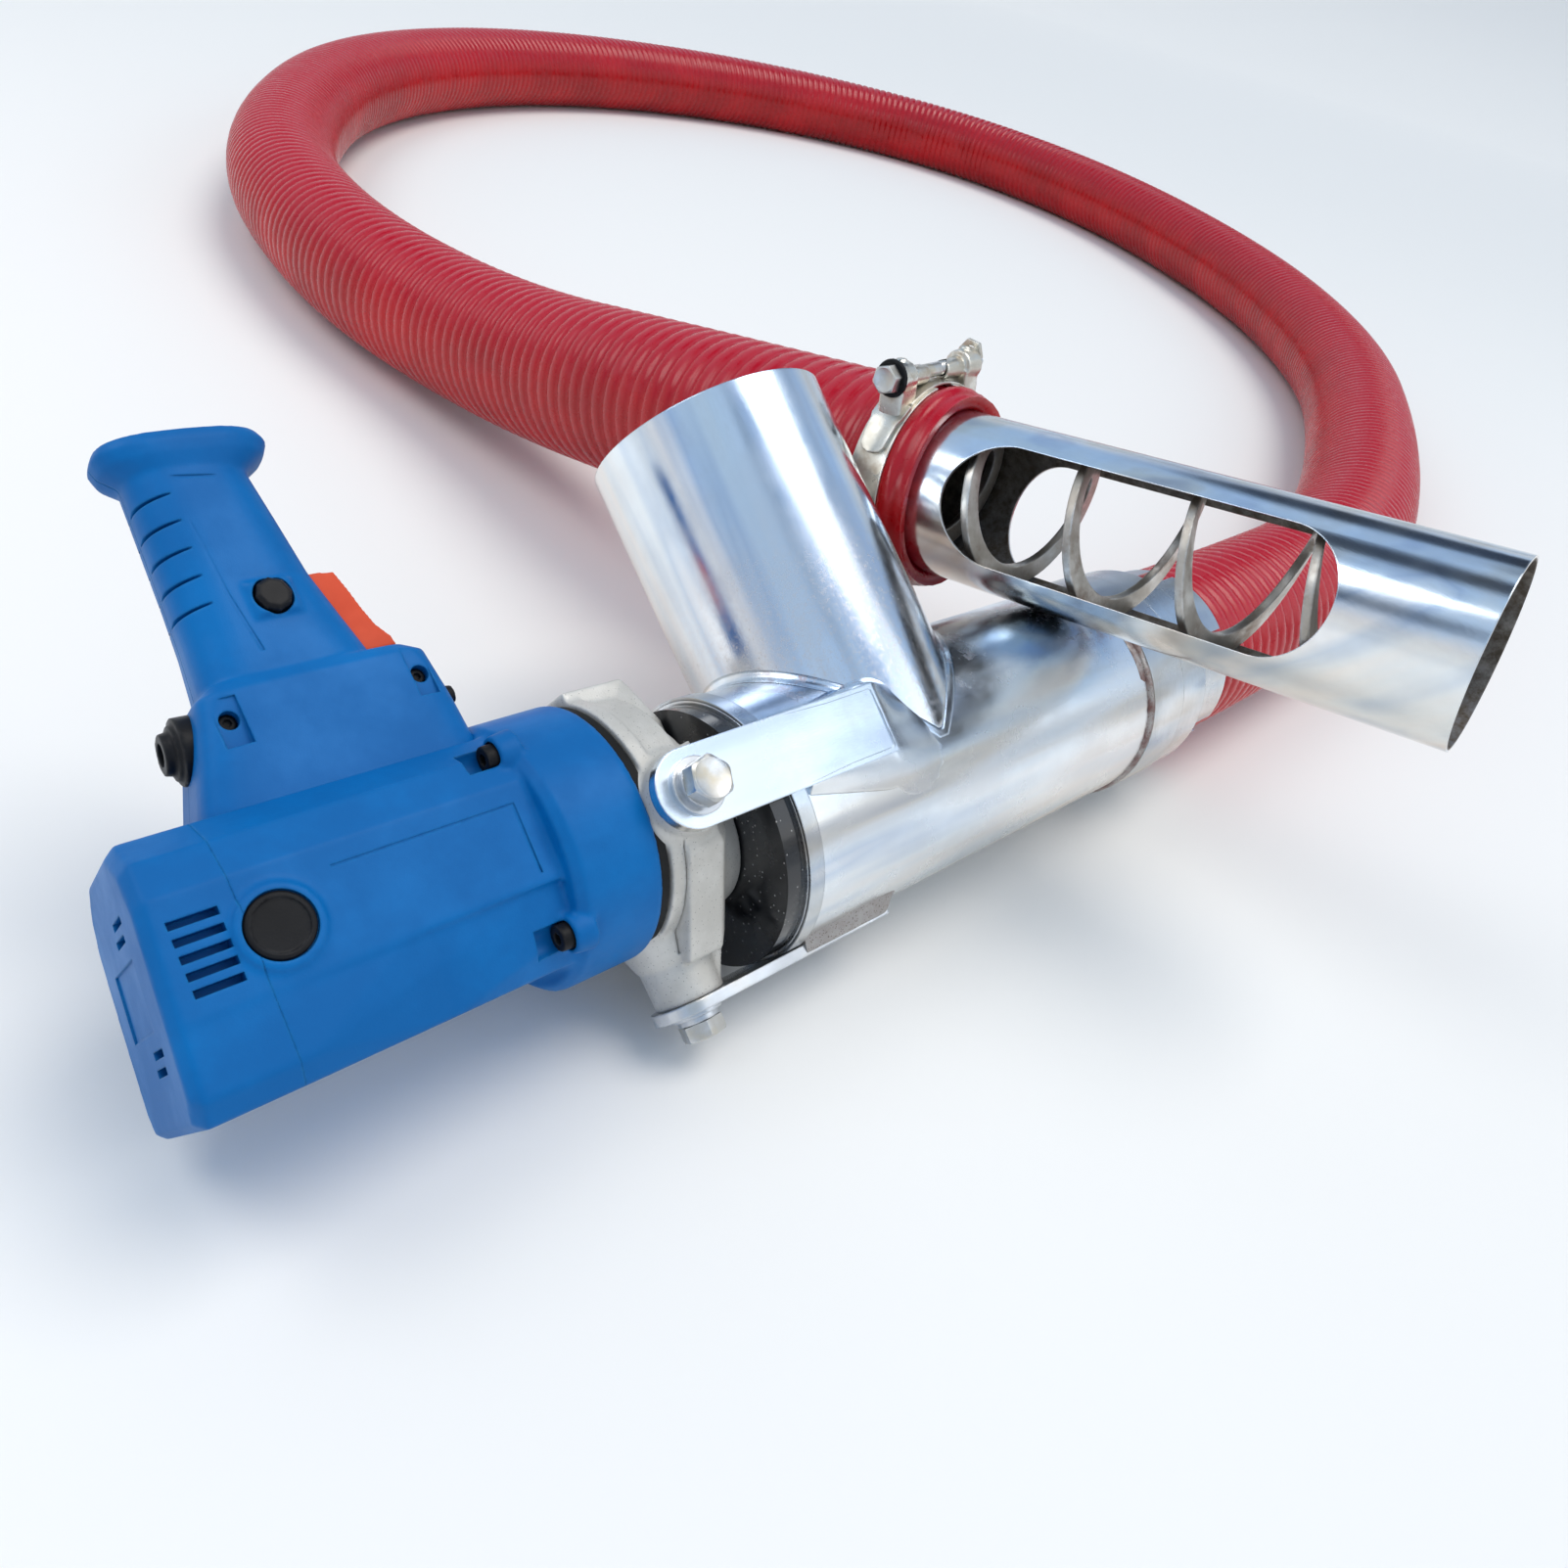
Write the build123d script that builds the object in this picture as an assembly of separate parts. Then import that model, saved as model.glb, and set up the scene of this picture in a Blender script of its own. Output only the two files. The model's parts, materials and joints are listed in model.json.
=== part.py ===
"""Hose-type grain auger: a power-drill motor drives a shaftless steel spiral that runs
through a steel T-head, a loop of ribbed hose and a slotted intake tube.

The machine half (motor, gearbox, head) is drawn upright about its own spindle line, X
forward from the gearbox towards the hose and Z up along the handle and the spout. It is
then leaned back about that line, the way it lies on the floor.
"""
from build123d import *
import math
import os

os.makedirs("parts", exist_ok=True)

# ---------------------------------------------------------------- driving dimensions (mm)
LEAN = 53.0  # the machine lies leaned back by this many degrees
ORIGIN_X = 61.0  # spindle-line point that stands over the origin
ORIGIN_Y = -2.96
RUN = 0.05  # radial running clearance of a shaft in its bore
GAP = 0.4  # clear gap between pieces that move past each other

HEAD_RADIUS = 60.0
HEAD_WALL = 2.0
HEAD_LENGTH = 262.0
SPOUT_RADIUS = 60.0
SPOUT_X = 96.0
SPOUT_REACH = 183.0
SPOUT_TILT = 2.0  # degrees the spout leans towards the motor
SPOUT_SOCKET = 50.0  # the spout's mouth is eased inside over this length, to take a liner
MOUTH_EASE = 1.0  # how much wider the socket is than the bore, per side; its step stops the liner
END_RING_PROUD = 1.5
END_RING_WIDTH = 8.0
END_PLATE_INSET = 1.5
END_PLATE_THICK = 8.0
OUTLET_RING_LENGTH = 30.0
OUTLET_RING_PROUD = 2.0
COUPLING_PROUD = 1.0
COUPLING_LENGTH = 26.0
SLEEVE_LENGTH = 36.0
SLEEVE_WALL = 2.0
SLEEVE_SLOTS = 6
SLEEVE_SLOT_WIDTH = 14.0

HOSE_RADIUS = 53.0
HOSE_BORE = 44.0
HOSE_ENTRY = 22.0  # how far the hose reaches into its coupling
INTAKE_WALL = 2.0
INTAKE_LENGTH = 345.0
INTAKE_IN_HOSE = 74.0
INTAKE_YAW = -82.55  # heading of the intake tube, degrees about Z from +X
INTAKE_RISE = 10.3  # degrees that its open end points up
WINDOW_START = 59.0  # from the open end
WINDOW_LENGTH = 196.0
WINDOW_WIDTH = 60.0

SPIRAL_RADIUS = 38.0
SPIRAL_PITCH = 58.0
STRIP_WIDTH = 11.0  # radial width of the spiral's flat strip
STRIP_THICK = 4.0
SPIRAL_BREAK = 7.0  # gap left where a turning stretch meets the bent stretch
SPIRAL_BACK = 30.0  # the spiral stops this far inside the intake tube's open end
INTAKE_SPIRAL_INSET = 2.0

MOTOR_RISE = 20.0  # motor axis above the spindle line
MOTOR_REAR = -232.0
COVER_LENGTH = 30.0
BARREL_RADIUS = 50.0
BARREL_HALF_WIDTH = 44.0
BARREL_HALF_HEIGHT = 46.0
FLANGE_RADIUS = 55.0
FLANGE_LENGTH = 28.0
CASE_WALL = 3.5
GEARCASE_REAR = -56.0
GEARCASE_FRONT = -24.0
GEARCASE_WALL = 3.5
PLATE_THICK = 4.0
NOSE_RADIUS = 19.0
BOSS_RADIUS = 15.0
STRAP_WIDTH = 32.0
STRAP_THICK = 5.0
STRAP_REAR = -61.0
STRAP_FRONT = 62.0
BOLT_X = -43.0
BOLT_RADIUS = 5.0
BOLT_DEPTH = 9.0
BOLT_FLATS = 17.0
BOLT_HEAD = 6.5
WASHER_RADIUS = 11.5
WASHER_THICK = 2.0
SPRING_WASHER_RADIUS = 9.0
SPRING_WASHER_THICK = 2.5
STRAP_Z = 17.0  # height of the side bosses above the spindle line
STRAP_SIDES = [(0, -1, 0), (0, 1, 0), (0, 0, -1)]

CLAMP_BACK = 296.0  # centre of the clamp, back from the open end
BAND_WIDTH = 20.0
BAND_THICK = 1.5
BRIDGE_THICK = 1.2
CLAMP_REACH = 31.0  # how far each trunnion stands from the clamp's middle
CLAMP_LIFT = 11.0  # clamp bolt above the band
CLAMP_BOLT_RADIUS = 3.9
CLAMP_BOLT_LENGTH = 76.0
CLAMP_FLATS = 13.0

GRIP_X = -153.0
GRIP_LENGTH = 46.0
GRIP_THICK = 34.0
GRIP_TOP = 200.0
HEEL_HEIGHT = 18.0
HEEL_OVERHANG = 7.0
NECK_TOP = 113.0
NECK_FRONT = -96.0
NECK_THICK = 46.0
HANDLE_WALL = 3.0

TRIGGER_TRAVEL = 6.0
TRIGGER_HIGH = 150.0
TRIGGER_HALF = 8.0
LOCK_X = -145.0
LOCK_Z = 143.0
LOCK_RADIUS = 6.5
LOCK_PROUD = 4.0
LOCK_LENGTH = 7.5
HANDLE_SCREWS = [(-169.5, 97.0), (-103.0, 88.0), (-162.0, 191.0)]
SCREW_RADIUS = 2.1
GLAND_Z = 84.0
GLAND_RADIUS = 6.5

SHAFT_RADIUS = 5.0
REAR_BEARING_RADIUS = 9.5
REAR_BEARING_WIDTH = 7.0
FRONT_BEARING_RADIUS = 15.0
FRONT_BEARING_WIDTH = 9.0
BRUSH_BORE = 8.5
BRUSH_SEAT = 42.0  # where a brush holder ends and its cap begins, out from the motor axis
BRUSH_LENGTH = 12.0
COMMUTATOR_RADIUS = 12.0
ROTOR_RADIUS = 22.0
ROTOR_LENGTH = 52.0
ROTOR_GAP = 0.6
FAN_RADIUS = 36.0
FAN_WIDTH = 10.0

FIRST_MODULE = 1.0
PINION_TEETH = 10
FIRST_TEETH = 42
SECOND_MODULE = 1.5
LAY_TEETH = 12
OUTPUT_TEETH = 36
FIRST_WIDTH = 8.0
SECOND_WIDTH = 10.0
LAY_RADIUS = 5.0
SPINDLE_RADIUS = 10.0
SPINDLE_JOURNAL = 6.0
SPINDLE_BEARING_RADIUS = 15.0
SPINDLE_END = 30.0
COUPLER_RADIUS = 17.0
COUPLER_START = 8.0
COUPLER_END = 44.0
COUPLER_ARM = 6.0  # half the width of the two arms that the spiral is welded to
PIN_RADIUS = 3.0
PIN_X = 19.0
HEAD_SPIRAL_START = 40.0

END_RING_RADIUS = HEAD_RADIUS + END_RING_PROUD
END_PLATE_RADIUS = HEAD_RADIUS - END_PLATE_INSET
OUTLET_RING_RADIUS = HEAD_RADIUS + OUTLET_RING_PROUD
COUPLING_RADIUS = HEAD_RADIUS + COUPLING_PROUD
SPINDLE_HEIGHT = OUTLET_RING_RADIUS  # the outlet ring rests on the floor

# The hose lies on the floor in one open loop. Points are in the machine's floor frame,
# with X along the spindle line and Z from the floor.
HOSE_LOOP = [
    (HEAD_LENGTH + 178.0, 0.0, SPINDLE_HEIGHT),
    (690.0, 20.0, 54.0),
    (990.0, 135.0, 54.0),
    (1330.0, 325.0, 54.0),
    (1620.0, 640.0, 54.0),
    (1800.0, 1060.0, 54.0),
    (1740.0, 1430.0, 54.0),
    (1420.0, 1660.0, 54.0),
    (960.0, 1670.0, 54.0),
    (540.0, 1450.0, 54.0),
    (260.0, 1060.0, 54.0),
    (190.0, 760.0, 54.0),
    (203.0, 510.0, 63.0),
]
HOSE_LAST_CORNER = 455.0  # on the intake tube's line, back from its open end
# centre of the intake tube's open end, high enough for the tube to pass over the head
INTAKE_MOUTH = (252.4, -182.4, SPINDLE_HEIGHT + HEAD_RADIUS + 79.9)

# ---------------------------------------------------------------- worked-out values
HEAD_BORE = HEAD_RADIUS - HEAD_WALL
SPOUT_BORE = SPOUT_RADIUS - HEAD_WALL
RING_END = HEAD_LENGTH + OUTLET_RING_LENGTH
COUPLING_END = RING_END + COUPLING_LENGTH
SLEEVE_END = COUPLING_END + SLEEVE_LENGTH
HOSE_START = COUPLING_END - HOSE_ENTRY
INTAKE_RADIUS = HOSE_BORE
INTAKE_BORE = INTAKE_RADIUS - INTAKE_WALL
FIRST_DISTANCE = FIRST_MODULE * (PINION_TEETH + FIRST_TEETH) / 2
SECOND_DISTANCE = SECOND_MODULE * (LAY_TEETH + OUTPUT_TEETH) / 2
LAY_Z = (SECOND_DISTANCE**2 - FIRST_DISTANCE**2 + MOTOR_RISE**2) / (2 * MOTOR_RISE)
LAY_Y = math.sqrt(SECOND_DISTANCE**2 - LAY_Z**2)
BARREL_FRONT = GEARCASE_REAR - PLATE_THICK - FLANGE_LENGTH
COVER_FRONT = MOTOR_REAR + COVER_LENGTH
NOSE_FRONT = -END_PLATE_THICK - 2.0
TRIGGER_LOW = NECK_TOP + 3.0
HEAD_SPIRAL_END = COUPLING_END + 10.0
BRUSH_X = COVER_FRONT + 11.0

# ---------------------------------------------------------------- helpers
FORWARD = Plane(origin=(0, 0, 0), x_dir=(0, 1, 0), z_dir=(1, 0, 0))
MIN_Z = (Align.CENTER, Align.CENTER, Align.MIN)


def bar(radius, start, direction, length):
    """A round bar from a start point along a direction."""
    return Plane(origin=start, z_dir=direction) * Cylinder(radius, length, align=MIN_Z)


def rod(radius, x0, x1, z=0.0, y=0.0):
    """A round bar along X."""
    return bar(radius, (x0, y, z), (1, 0, 0), x1 - x0)


def ring(outer, inner, x0, x1, z=0.0, y=0.0):
    """A plain ring or tube along X."""
    return rod(outer, x0, x1, z, y) - rod(inner, x0 - 1, x1 + 1, z, y)


def block(x0, x1, y0, y1, z0, z1):
    """A box between any two opposite corners."""
    size = (abs(x1 - x0), abs(y1 - y0), abs(z1 - z0))
    return Pos((x0 + x1) / 2, (y0 + y1) / 2, (z0 + z1) / 2) * Box(*size)


def stadium(length, thick, z0, z1, x, y=0.0):
    """An upright column with rounded ends, long side along X."""
    sketch = Pos(x, y, z0) * SlotOverall(length, thick)
    return extrude(sketch, z1 - z0)


def hexagon(flats, start, direction, height):
    """A six-sided bolt head or nut."""
    sketch = RegularPolygon(flats / 2, 6, major_radius=False)
    return extrude(Plane(origin=start, z_dir=direction) * sketch, height)


def around(count, first=0.0):
    """Evenly spaced angles in degrees."""
    return [first + 360.0 * i / count for i in range(count)]


def gear(teeth, module, addendum, root_radius, x0, x1, turn):
    """A spur gear about the X axis with involute flanks; turn points its first tooth."""
    pitch_radius = teeth * module / 2
    base_radius = pitch_radius * math.cos(math.radians(20))
    tip_radius = pitch_radius + addendum
    half_tooth = 0.45 * math.pi / teeth
    roll_at_pitch = math.tan(math.radians(20)) - math.radians(20)
    flank = []
    steps = 5
    start = max(base_radius, root_radius)
    for i in range(steps + 1):
        radius = start + (tip_radius - start) * i / steps
        pressure = math.acos(base_radius / radius)
        angle = half_tooth + roll_at_pitch - (math.tan(pressure) - pressure)
        flank.append((radius, angle))
    side = [(root_radius, flank[0][1])] + flank if root_radius < start else flank
    points = []
    for tooth in range(teeth):
        centre = math.radians(turn) + 2 * math.pi * tooth / teeth
        for radius, angle in side:
            points.append((radius, centre - angle))
        for radius, angle in reversed(side):
            points.append((radius, centre + angle))
    outline = Polyline(*[(r * math.cos(a), r * math.sin(a)) for r, a in points], close=True)
    return Pos(x0, 0, 0) * extrude(FORWARD * make_face(outline), x1 - x0)


def strip_spiral(length, plane):
    """A right-handed shaftless spiral of flat strip, along a plane's normal."""
    mid = SPIRAL_RADIUS - STRIP_WIDTH / 2
    path = Helix(pitch=SPIRAL_PITCH, height=length, radius=mid)
    section = Plane(origin=path @ 0, x_dir=(1, 0, 0), z_dir=path % 0)
    strip = sweep(section * Rectangle(STRIP_WIDTH, STRIP_THICK), path=path, is_frenet=True)
    return plane * strip


nodes = {}


def keep(name, *solids):
    """Stores a node that is already in the floor frame."""
    nodes[name] = Compound(children=[s for shape in solids for s in shape.solids()])


def machine(name, *solids):
    """Stores a node of the machine half, leaned back onto the floor."""
    lean = Location((0, 0, SPINDLE_HEIGHT), (-LEAN, 0, 0))
    keep(name, *[lean * shape for shape in solids])


# ---------------------------------------------------------------- motor casing
def barrel_form(x0, x1, shrink=0.0, bevel=0.0):
    """The motor casing's outer form: a round barrel with flattened sides."""
    z0 = MOTOR_RISE - BARREL_HALF_HEIGHT + shrink
    z1 = MOTOR_RISE + BARREL_HALF_HEIGHT - shrink
    width = BARREL_HALF_WIDTH - shrink
    barrel = rod(BARREL_RADIUS - shrink, x0, x1, MOTOR_RISE)
    flats = block(x0, x1, -width, width, z0, z1)
    if bevel:
        barrel = chamfer(barrel.edges().sort_by(Axis.X)[0], bevel)
        flats = chamfer(flats.faces().sort_by(Axis.X)[0].edges(), bevel)
    return barrel & flats


def motor_casing():
    """One-piece blue casing with the thick front flange that carries the gearbox."""
    flange = rod(FLANGE_RADIUS, BARREL_FRONT, BARREL_FRONT + FLANGE_LENGTH, MOTOR_RISE)
    casing = barrel_form(COVER_FRONT, BARREL_FRONT) + chamfer(
        flange.edges().filter_by(GeomType.CIRCLE), 2.5
    )
    casing -= barrel_form(COVER_FRONT - 1, BARREL_FRONT - 2, CASE_WALL)
    flange_end = BARREL_FRONT + FLANGE_LENGTH
    casing -= rod(BARREL_HALF_WIDTH - CASE_WALL, BARREL_FRONT - 3, flange_end + 1, MOTOR_RISE)
    for side in (-1, 1):
        casing -= bar(BRUSH_BORE, (BRUSH_X, side * 30, MOTOR_RISE), (0, side, 0), 30)
    for x, y, z in screw_places():
        casing -= rod(SCREW_RADIUS, x - 40, x + 1, z, y)
    return casing


def rear_cover():
    """Chamfered blue end cover with vents and a blank recessed panel."""
    cover = barrel_form(MOTOR_REAR, COVER_FRONT, bevel=6.0)
    cover -= barrel_form(MOTOR_REAR + CASE_WALL, COVER_FRONT + 1, CASE_WALL)
    for side in (-1, 1):
        for i in range(5):
            z = MOTOR_RISE - 14 + 7 * i
            cover -= block(MOTOR_REAR + 9, COVER_FRONT - 4, side * 35, side * 50, z, z + 3)
        z = MOTOR_RISE + side * 30
        cover -= block(MOTOR_REAR - 1, MOTOR_REAR + 4, -8, 8, z - 2, z + 2)
    seat = MOTOR_REAR + CASE_WALL
    cover += ring(13.0, REAR_BEARING_RADIUS, seat, seat + REAR_BEARING_WIDTH, MOTOR_RISE)
    return cover


def screw_places():
    """The four screws that hold the gearcase, plate and casing together."""
    reach = FLANGE_RADIUS - 7.5
    places = []
    for angle in around(4, 45):
        y = reach * math.cos(math.radians(angle))
        z = MOTOR_RISE + reach * math.sin(math.radians(angle))
        places.append((BARREL_FRONT + FLANGE_LENGTH, y, z))
    return places


# ---------------------------------------------------------------- handle
def handle_form(shrink=0.0):
    """Pistol handle: neck on the casing, rounded grip, flared heel."""
    neck_floor = MOTOR_RISE + BARREL_HALF_HEIGHT
    rear = GRIP_X - GRIP_LENGTH / 2
    half = NECK_THICK / 2 - shrink
    top = NECK_TOP - shrink
    neck = block(rear + shrink, NECK_FRONT - shrink, -half, half, neck_floor + shrink, top)
    length = GRIP_LENGTH - 2 * shrink
    grip = stadium(length, GRIP_THICK - 2 * shrink, neck_floor + 5, GRIP_TOP + 1, GRIP_X)
    heel_top = GRIP_TOP + HEEL_HEIGHT - shrink
    heel_length = GRIP_LENGTH + 2 * HEEL_OVERHANG - 2 * shrink
    heel = stadium(heel_length, GRIP_THICK + 6 - 2 * shrink, GRIP_TOP + shrink, heel_top, GRIP_X + 1)
    return neck + grip + heel


def handle_shell():
    """Both halves of the handle in one, with the trigger slot and the button hole."""
    shell = handle_form() - handle_form(HANDLE_WALL)
    front = GRIP_X + GRIP_LENGTH / 2
    clear = TRIGGER_HALF + GAP
    shell -= block(front - 14, front + 5, -clear, clear, TRIGGER_LOW - GAP, TRIGGER_HIGH + GAP)
    shell -= bar(LOCK_RADIUS + GAP, (LOCK_X, -5, LOCK_Z), (0, -1, 0), 30)
    for x, z in HANDLE_SCREWS:
        shell += bar(5.0, (x, -NECK_THICK / 2, z), (0, 1, 0), NECK_THICK) & handle_form()
        shell -= bar(SCREW_RADIUS, (x, -40, z), (0, 1, 0), 80)
    rear = GRIP_X - GRIP_LENGTH / 2
    shell -= bar(GLAND_RADIUS, (rear - 1, 0, GLAND_Z), (1, 0, 0), HANDLE_WALL + 2)
    return shell


def half(shape, side):
    """The part of a shape on one side of the machine's middle plane."""
    return shape & block(-400, 400, min(0, side * 200), max(0, side * 200), -200, 400)


# ---------------------------------------------------------------- build: casing and handle
shell = handle_shell()
machine("motor_casing", motor_casing())
machine("rear_cover", rear_cover())
machine("handle_half_near", half(shell, -1))
machine("handle_half_far", half(shell, 1))

screws = []
for x, z in HANDLE_SCREWS:
    thick = NECK_THICK if z < NECK_TOP else GRIP_THICK
    if z < NECK_TOP:
        screws.append(bar(SCREW_RADIUS, (x, -thick / 2 + 1.0, z), (0, 1, 0), thick - 3))
    else:
        screws.append(bar(SCREW_RADIUS, (x, -thick / 2 + 4.0, z), (0, 1, 0), thick - 8))
machine("handle_screws", *screws)

gland_x = GRIP_X - GRIP_LENGTH / 2
gland = bar(GLAND_RADIUS, (gland_x - 3, 0, GLAND_Z), (1, 0, 0), 12)
gland += bar(GLAND_RADIUS + 2.5, (gland_x - 6, 0, GLAND_Z), (1, 0, 0), 6)
gland -= bar(3.5, (gland_x - 7, 0, GLAND_Z), (1, 0, 0), 20)
machine("lead_gland", gland)

front = GRIP_X + GRIP_LENGTH / 2
trigger = block(front - 9, front + 6, -TRIGGER_HALF, TRIGGER_HALF, TRIGGER_LOW, TRIGGER_HIGH)
trigger += block(front + 5, front + 12, -TRIGGER_HALF, TRIGGER_HALF, TRIGGER_LOW, TRIGGER_LOW + 22)
trigger = fillet(trigger.edges().filter_by(Axis.Y).sort_by(Axis.X)[-3:], 3.0)
machine("trigger", trigger)

SWITCH_FRONT = front - 9 - TRIGGER_TRAVEL - 1.0
switch = block(SWITCH_FRONT - 22, SWITCH_FRONT, -10, 10, TRIGGER_LOW, TRIGGER_HIGH - 6)
machine("switch_body", switch)

button_low = -GRIP_THICK / 2 - LOCK_PROUD
button = bar(LOCK_RADIUS, (LOCK_X, button_low, LOCK_Z), (0, 1, 0), LOCK_LENGTH)
machine("lock_button", button)

# ---------------------------------------------------------------- build: motor inside
commutator_x0 = BRUSH_X - 9
commutator_x1 = BRUSH_X + 9
core_x0 = commutator_x1 + 18
core_x1 = core_x0 + ROTOR_LENGTH
fan_x0 = core_x1 + 8
bearing_x0 = MOTOR_REAR + CASE_WALL
plate_x0 = GEARCASE_REAR - PLATE_THICK
front_bearing_x0 = plate_x0 - 12
pinion_x1 = GEARCASE_REAR + 10

shaft = rod(SHAFT_RADIUS, bearing_x0 + 1, plate_x0, MOTOR_RISE)
machine("armature_shaft", shaft)
rotor = ring(ROTOR_RADIUS, SHAFT_RADIUS, core_x0, core_x1, MOTOR_RISE)
for angle in around(12):
    y = (ROTOR_RADIUS - 1) * math.cos(math.radians(angle))
    z = MOTOR_RISE + (ROTOR_RADIUS - 1) * math.sin(math.radians(angle))
    rotor -= rod(1.8, core_x0 - 1, core_x1 + 1, z, y)
machine("rotor_core", rotor)
commutator = ring(COMMUTATOR_RADIUS, SHAFT_RADIUS, commutator_x0, commutator_x1, MOTOR_RISE)
machine("commutator", commutator)
fan = ring(12.0, SHAFT_RADIUS, fan_x0, fan_x0 + FAN_WIDTH, MOTOR_RISE)
fan += ring(FAN_RADIUS, 11.0, fan_x0, fan_x0 + 2, MOTOR_RISE)
for angle in around(9):
    blade = block(fan_x0, fan_x0 + FAN_WIDTH, -1, 1, 11, FAN_RADIUS)
    fan += Pos(0, 0, MOTOR_RISE) * Rot(angle, 0, 0) * blade
machine("cooling_fan", fan)
stator_bore = ROTOR_RADIUS + ROTOR_GAP
stator = ring(BARREL_HALF_WIDTH - CASE_WALL, stator_bore, core_x0 - 2, core_x1 + 2, MOTOR_RISE)
machine("stator", stator)
shaft_bore = SHAFT_RADIUS + RUN
rear_bearing_x1 = bearing_x0 + REAR_BEARING_WIDTH
rear_bearing = ring(REAR_BEARING_RADIUS, shaft_bore, bearing_x0, rear_bearing_x1, MOTOR_RISE)
machine("rear_motor_bearing", rear_bearing)
front_bearing_x1 = front_bearing_x0 + FRONT_BEARING_WIDTH
front_bearing = ring(FRONT_BEARING_RADIUS, shaft_bore, front_bearing_x0, front_bearing_x1, MOTOR_RISE)
machine("front_motor_bearing", front_bearing)

brushes = []
holders = []
springs = []
caps = []
for side in (-1, 1):
    outward = (0, side, 0)
    face = Plane(origin=(BRUSH_X, side * (COMMUTATOR_RADIUS + GAP), MOTOR_RISE), z_dir=outward)
    brushes.append(face * Box(8, 5, BRUSH_LENGTH, align=MIN_Z))
    holder = bar(BRUSH_BORE, (BRUSH_X, side * 15, MOTOR_RISE), outward, BRUSH_SEAT - 15)
    holder -= face * Box(8, 5, 60, align=MIN_Z)
    holders.append(holder)
    spring_low = COMMUTATOR_RADIUS + BRUSH_LENGTH + GAP
    spring_foot = (BRUSH_X, side * spring_low, MOTOR_RISE)
    springs.append(bar(2.2, spring_foot, outward, BRUSH_SEAT - spring_low))
    cap = bar(13.0, (BRUSH_X, side * BARREL_HALF_WIDTH, MOTOR_RISE), outward, 2.5)
    cap += bar(BRUSH_BORE, (BRUSH_X, side * BRUSH_SEAT, MOTOR_RISE), outward, 3.0)
    cap -= block(BRUSH_X - 9, BRUSH_X + 9, side * 45, side * 48, MOTOR_RISE - 1, MOTOR_RISE + 1)
    caps.append(cap)
machine("carbon_brushes", *brushes)
machine("brush_holders", *holders)
machine("brush_springs", *springs)
machine("brush_caps", *caps)

# ---------------------------------------------------------------- build: gear train
first_turn = math.degrees(math.atan2(LAY_Z - MOTOR_RISE, LAY_Y))
second_turn = math.degrees(math.atan2(-LAY_Z, -LAY_Y))
first_x0 = GEARCASE_REAR + 1.0
first_x1 = first_x0 + FIRST_WIDTH
second_x0 = first_x1 + 3.0
second_x1 = second_x0 + SECOND_WIDTH
first_tip = 0.6 * FIRST_MODULE
second_tip = 0.72 * SECOND_MODULE
pinion_root = FIRST_DISTANCE - (FIRST_MODULE * FIRST_TEETH / 2 + first_tip) - 0.25
lay_root = SECOND_DISTANCE - (SECOND_MODULE * OUTPUT_TEETH / 2 + second_tip) - 0.3
first_root = FIRST_MODULE * (FIRST_TEETH / 2 - 1.25)
output_root = SECOND_MODULE * (OUTPUT_TEETH / 2 - 1.25)

pinion_tip = FIRST_MODULE * 0.9
pinion = gear(PINION_TEETH, FIRST_MODULE, pinion_tip, pinion_root, plate_x0, first_x1, first_turn)
machine("motor_pinion", Pos(0, 0, MOTOR_RISE) * pinion)
half_first = 180.0 / FIRST_TEETH
first_mesh = first_turn + 180 + half_first
first = gear(FIRST_TEETH, FIRST_MODULE, first_tip, first_root, first_x0, first_x1, first_mesh)
first = Pos(0, LAY_Y, LAY_Z) * first - rod(LAY_RADIUS, first_x0 - 1, first_x1 + 1, LAY_Z, LAY_Y)
machine("first_gear", first)
lay_tip = SECOND_MODULE * 0.9
lay = gear(LAY_TEETH, SECOND_MODULE, lay_tip, lay_root, first_x1, second_x1 + 1, second_turn)
lay = Pos(0, LAY_Y, LAY_Z) * lay - rod(LAY_RADIUS, first_x1 - 1, second_x1 + 2, LAY_Z, LAY_Y)
machine("lay_pinion", lay)
machine("lay_shaft", rod(LAY_RADIUS, plate_x0 + 1, GEARCASE_FRONT - 1, LAY_Z, LAY_Y))
half_output = 180.0 / OUTPUT_TEETH
output_mesh = second_turn + 180 + half_output
output = gear(OUTPUT_TEETH, SECOND_MODULE, second_tip, output_root, second_x0, second_x1, output_mesh)
output -= rod(SPINDLE_RADIUS, second_x0 - 1, second_x1 + 1)
machine("output_gear", output)

spindle = rod(SPINDLE_RADIUS, first_x1 + 1, SPINDLE_END)
spindle += rod(SPINDLE_JOURNAL, plate_x0 + 1, first_x1 + 1)
machine("output_spindle", spindle)
spindle_bearing_x0 = GEARCASE_FRONT - 3.5
spindle_bore = SPINDLE_RADIUS + RUN
spindle_bearing_x1 = spindle_bearing_x0 + 9
bearing = ring(SPINDLE_BEARING_RADIUS, spindle_bore, spindle_bearing_x0, spindle_bearing_x1)
machine("spindle_bearing", bearing)
seal = ring(SPINDLE_BEARING_RADIUS, spindle_bore, spindle_bearing_x1 + 0.2, NOSE_FRONT)
machine("spindle_seal", seal)

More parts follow.
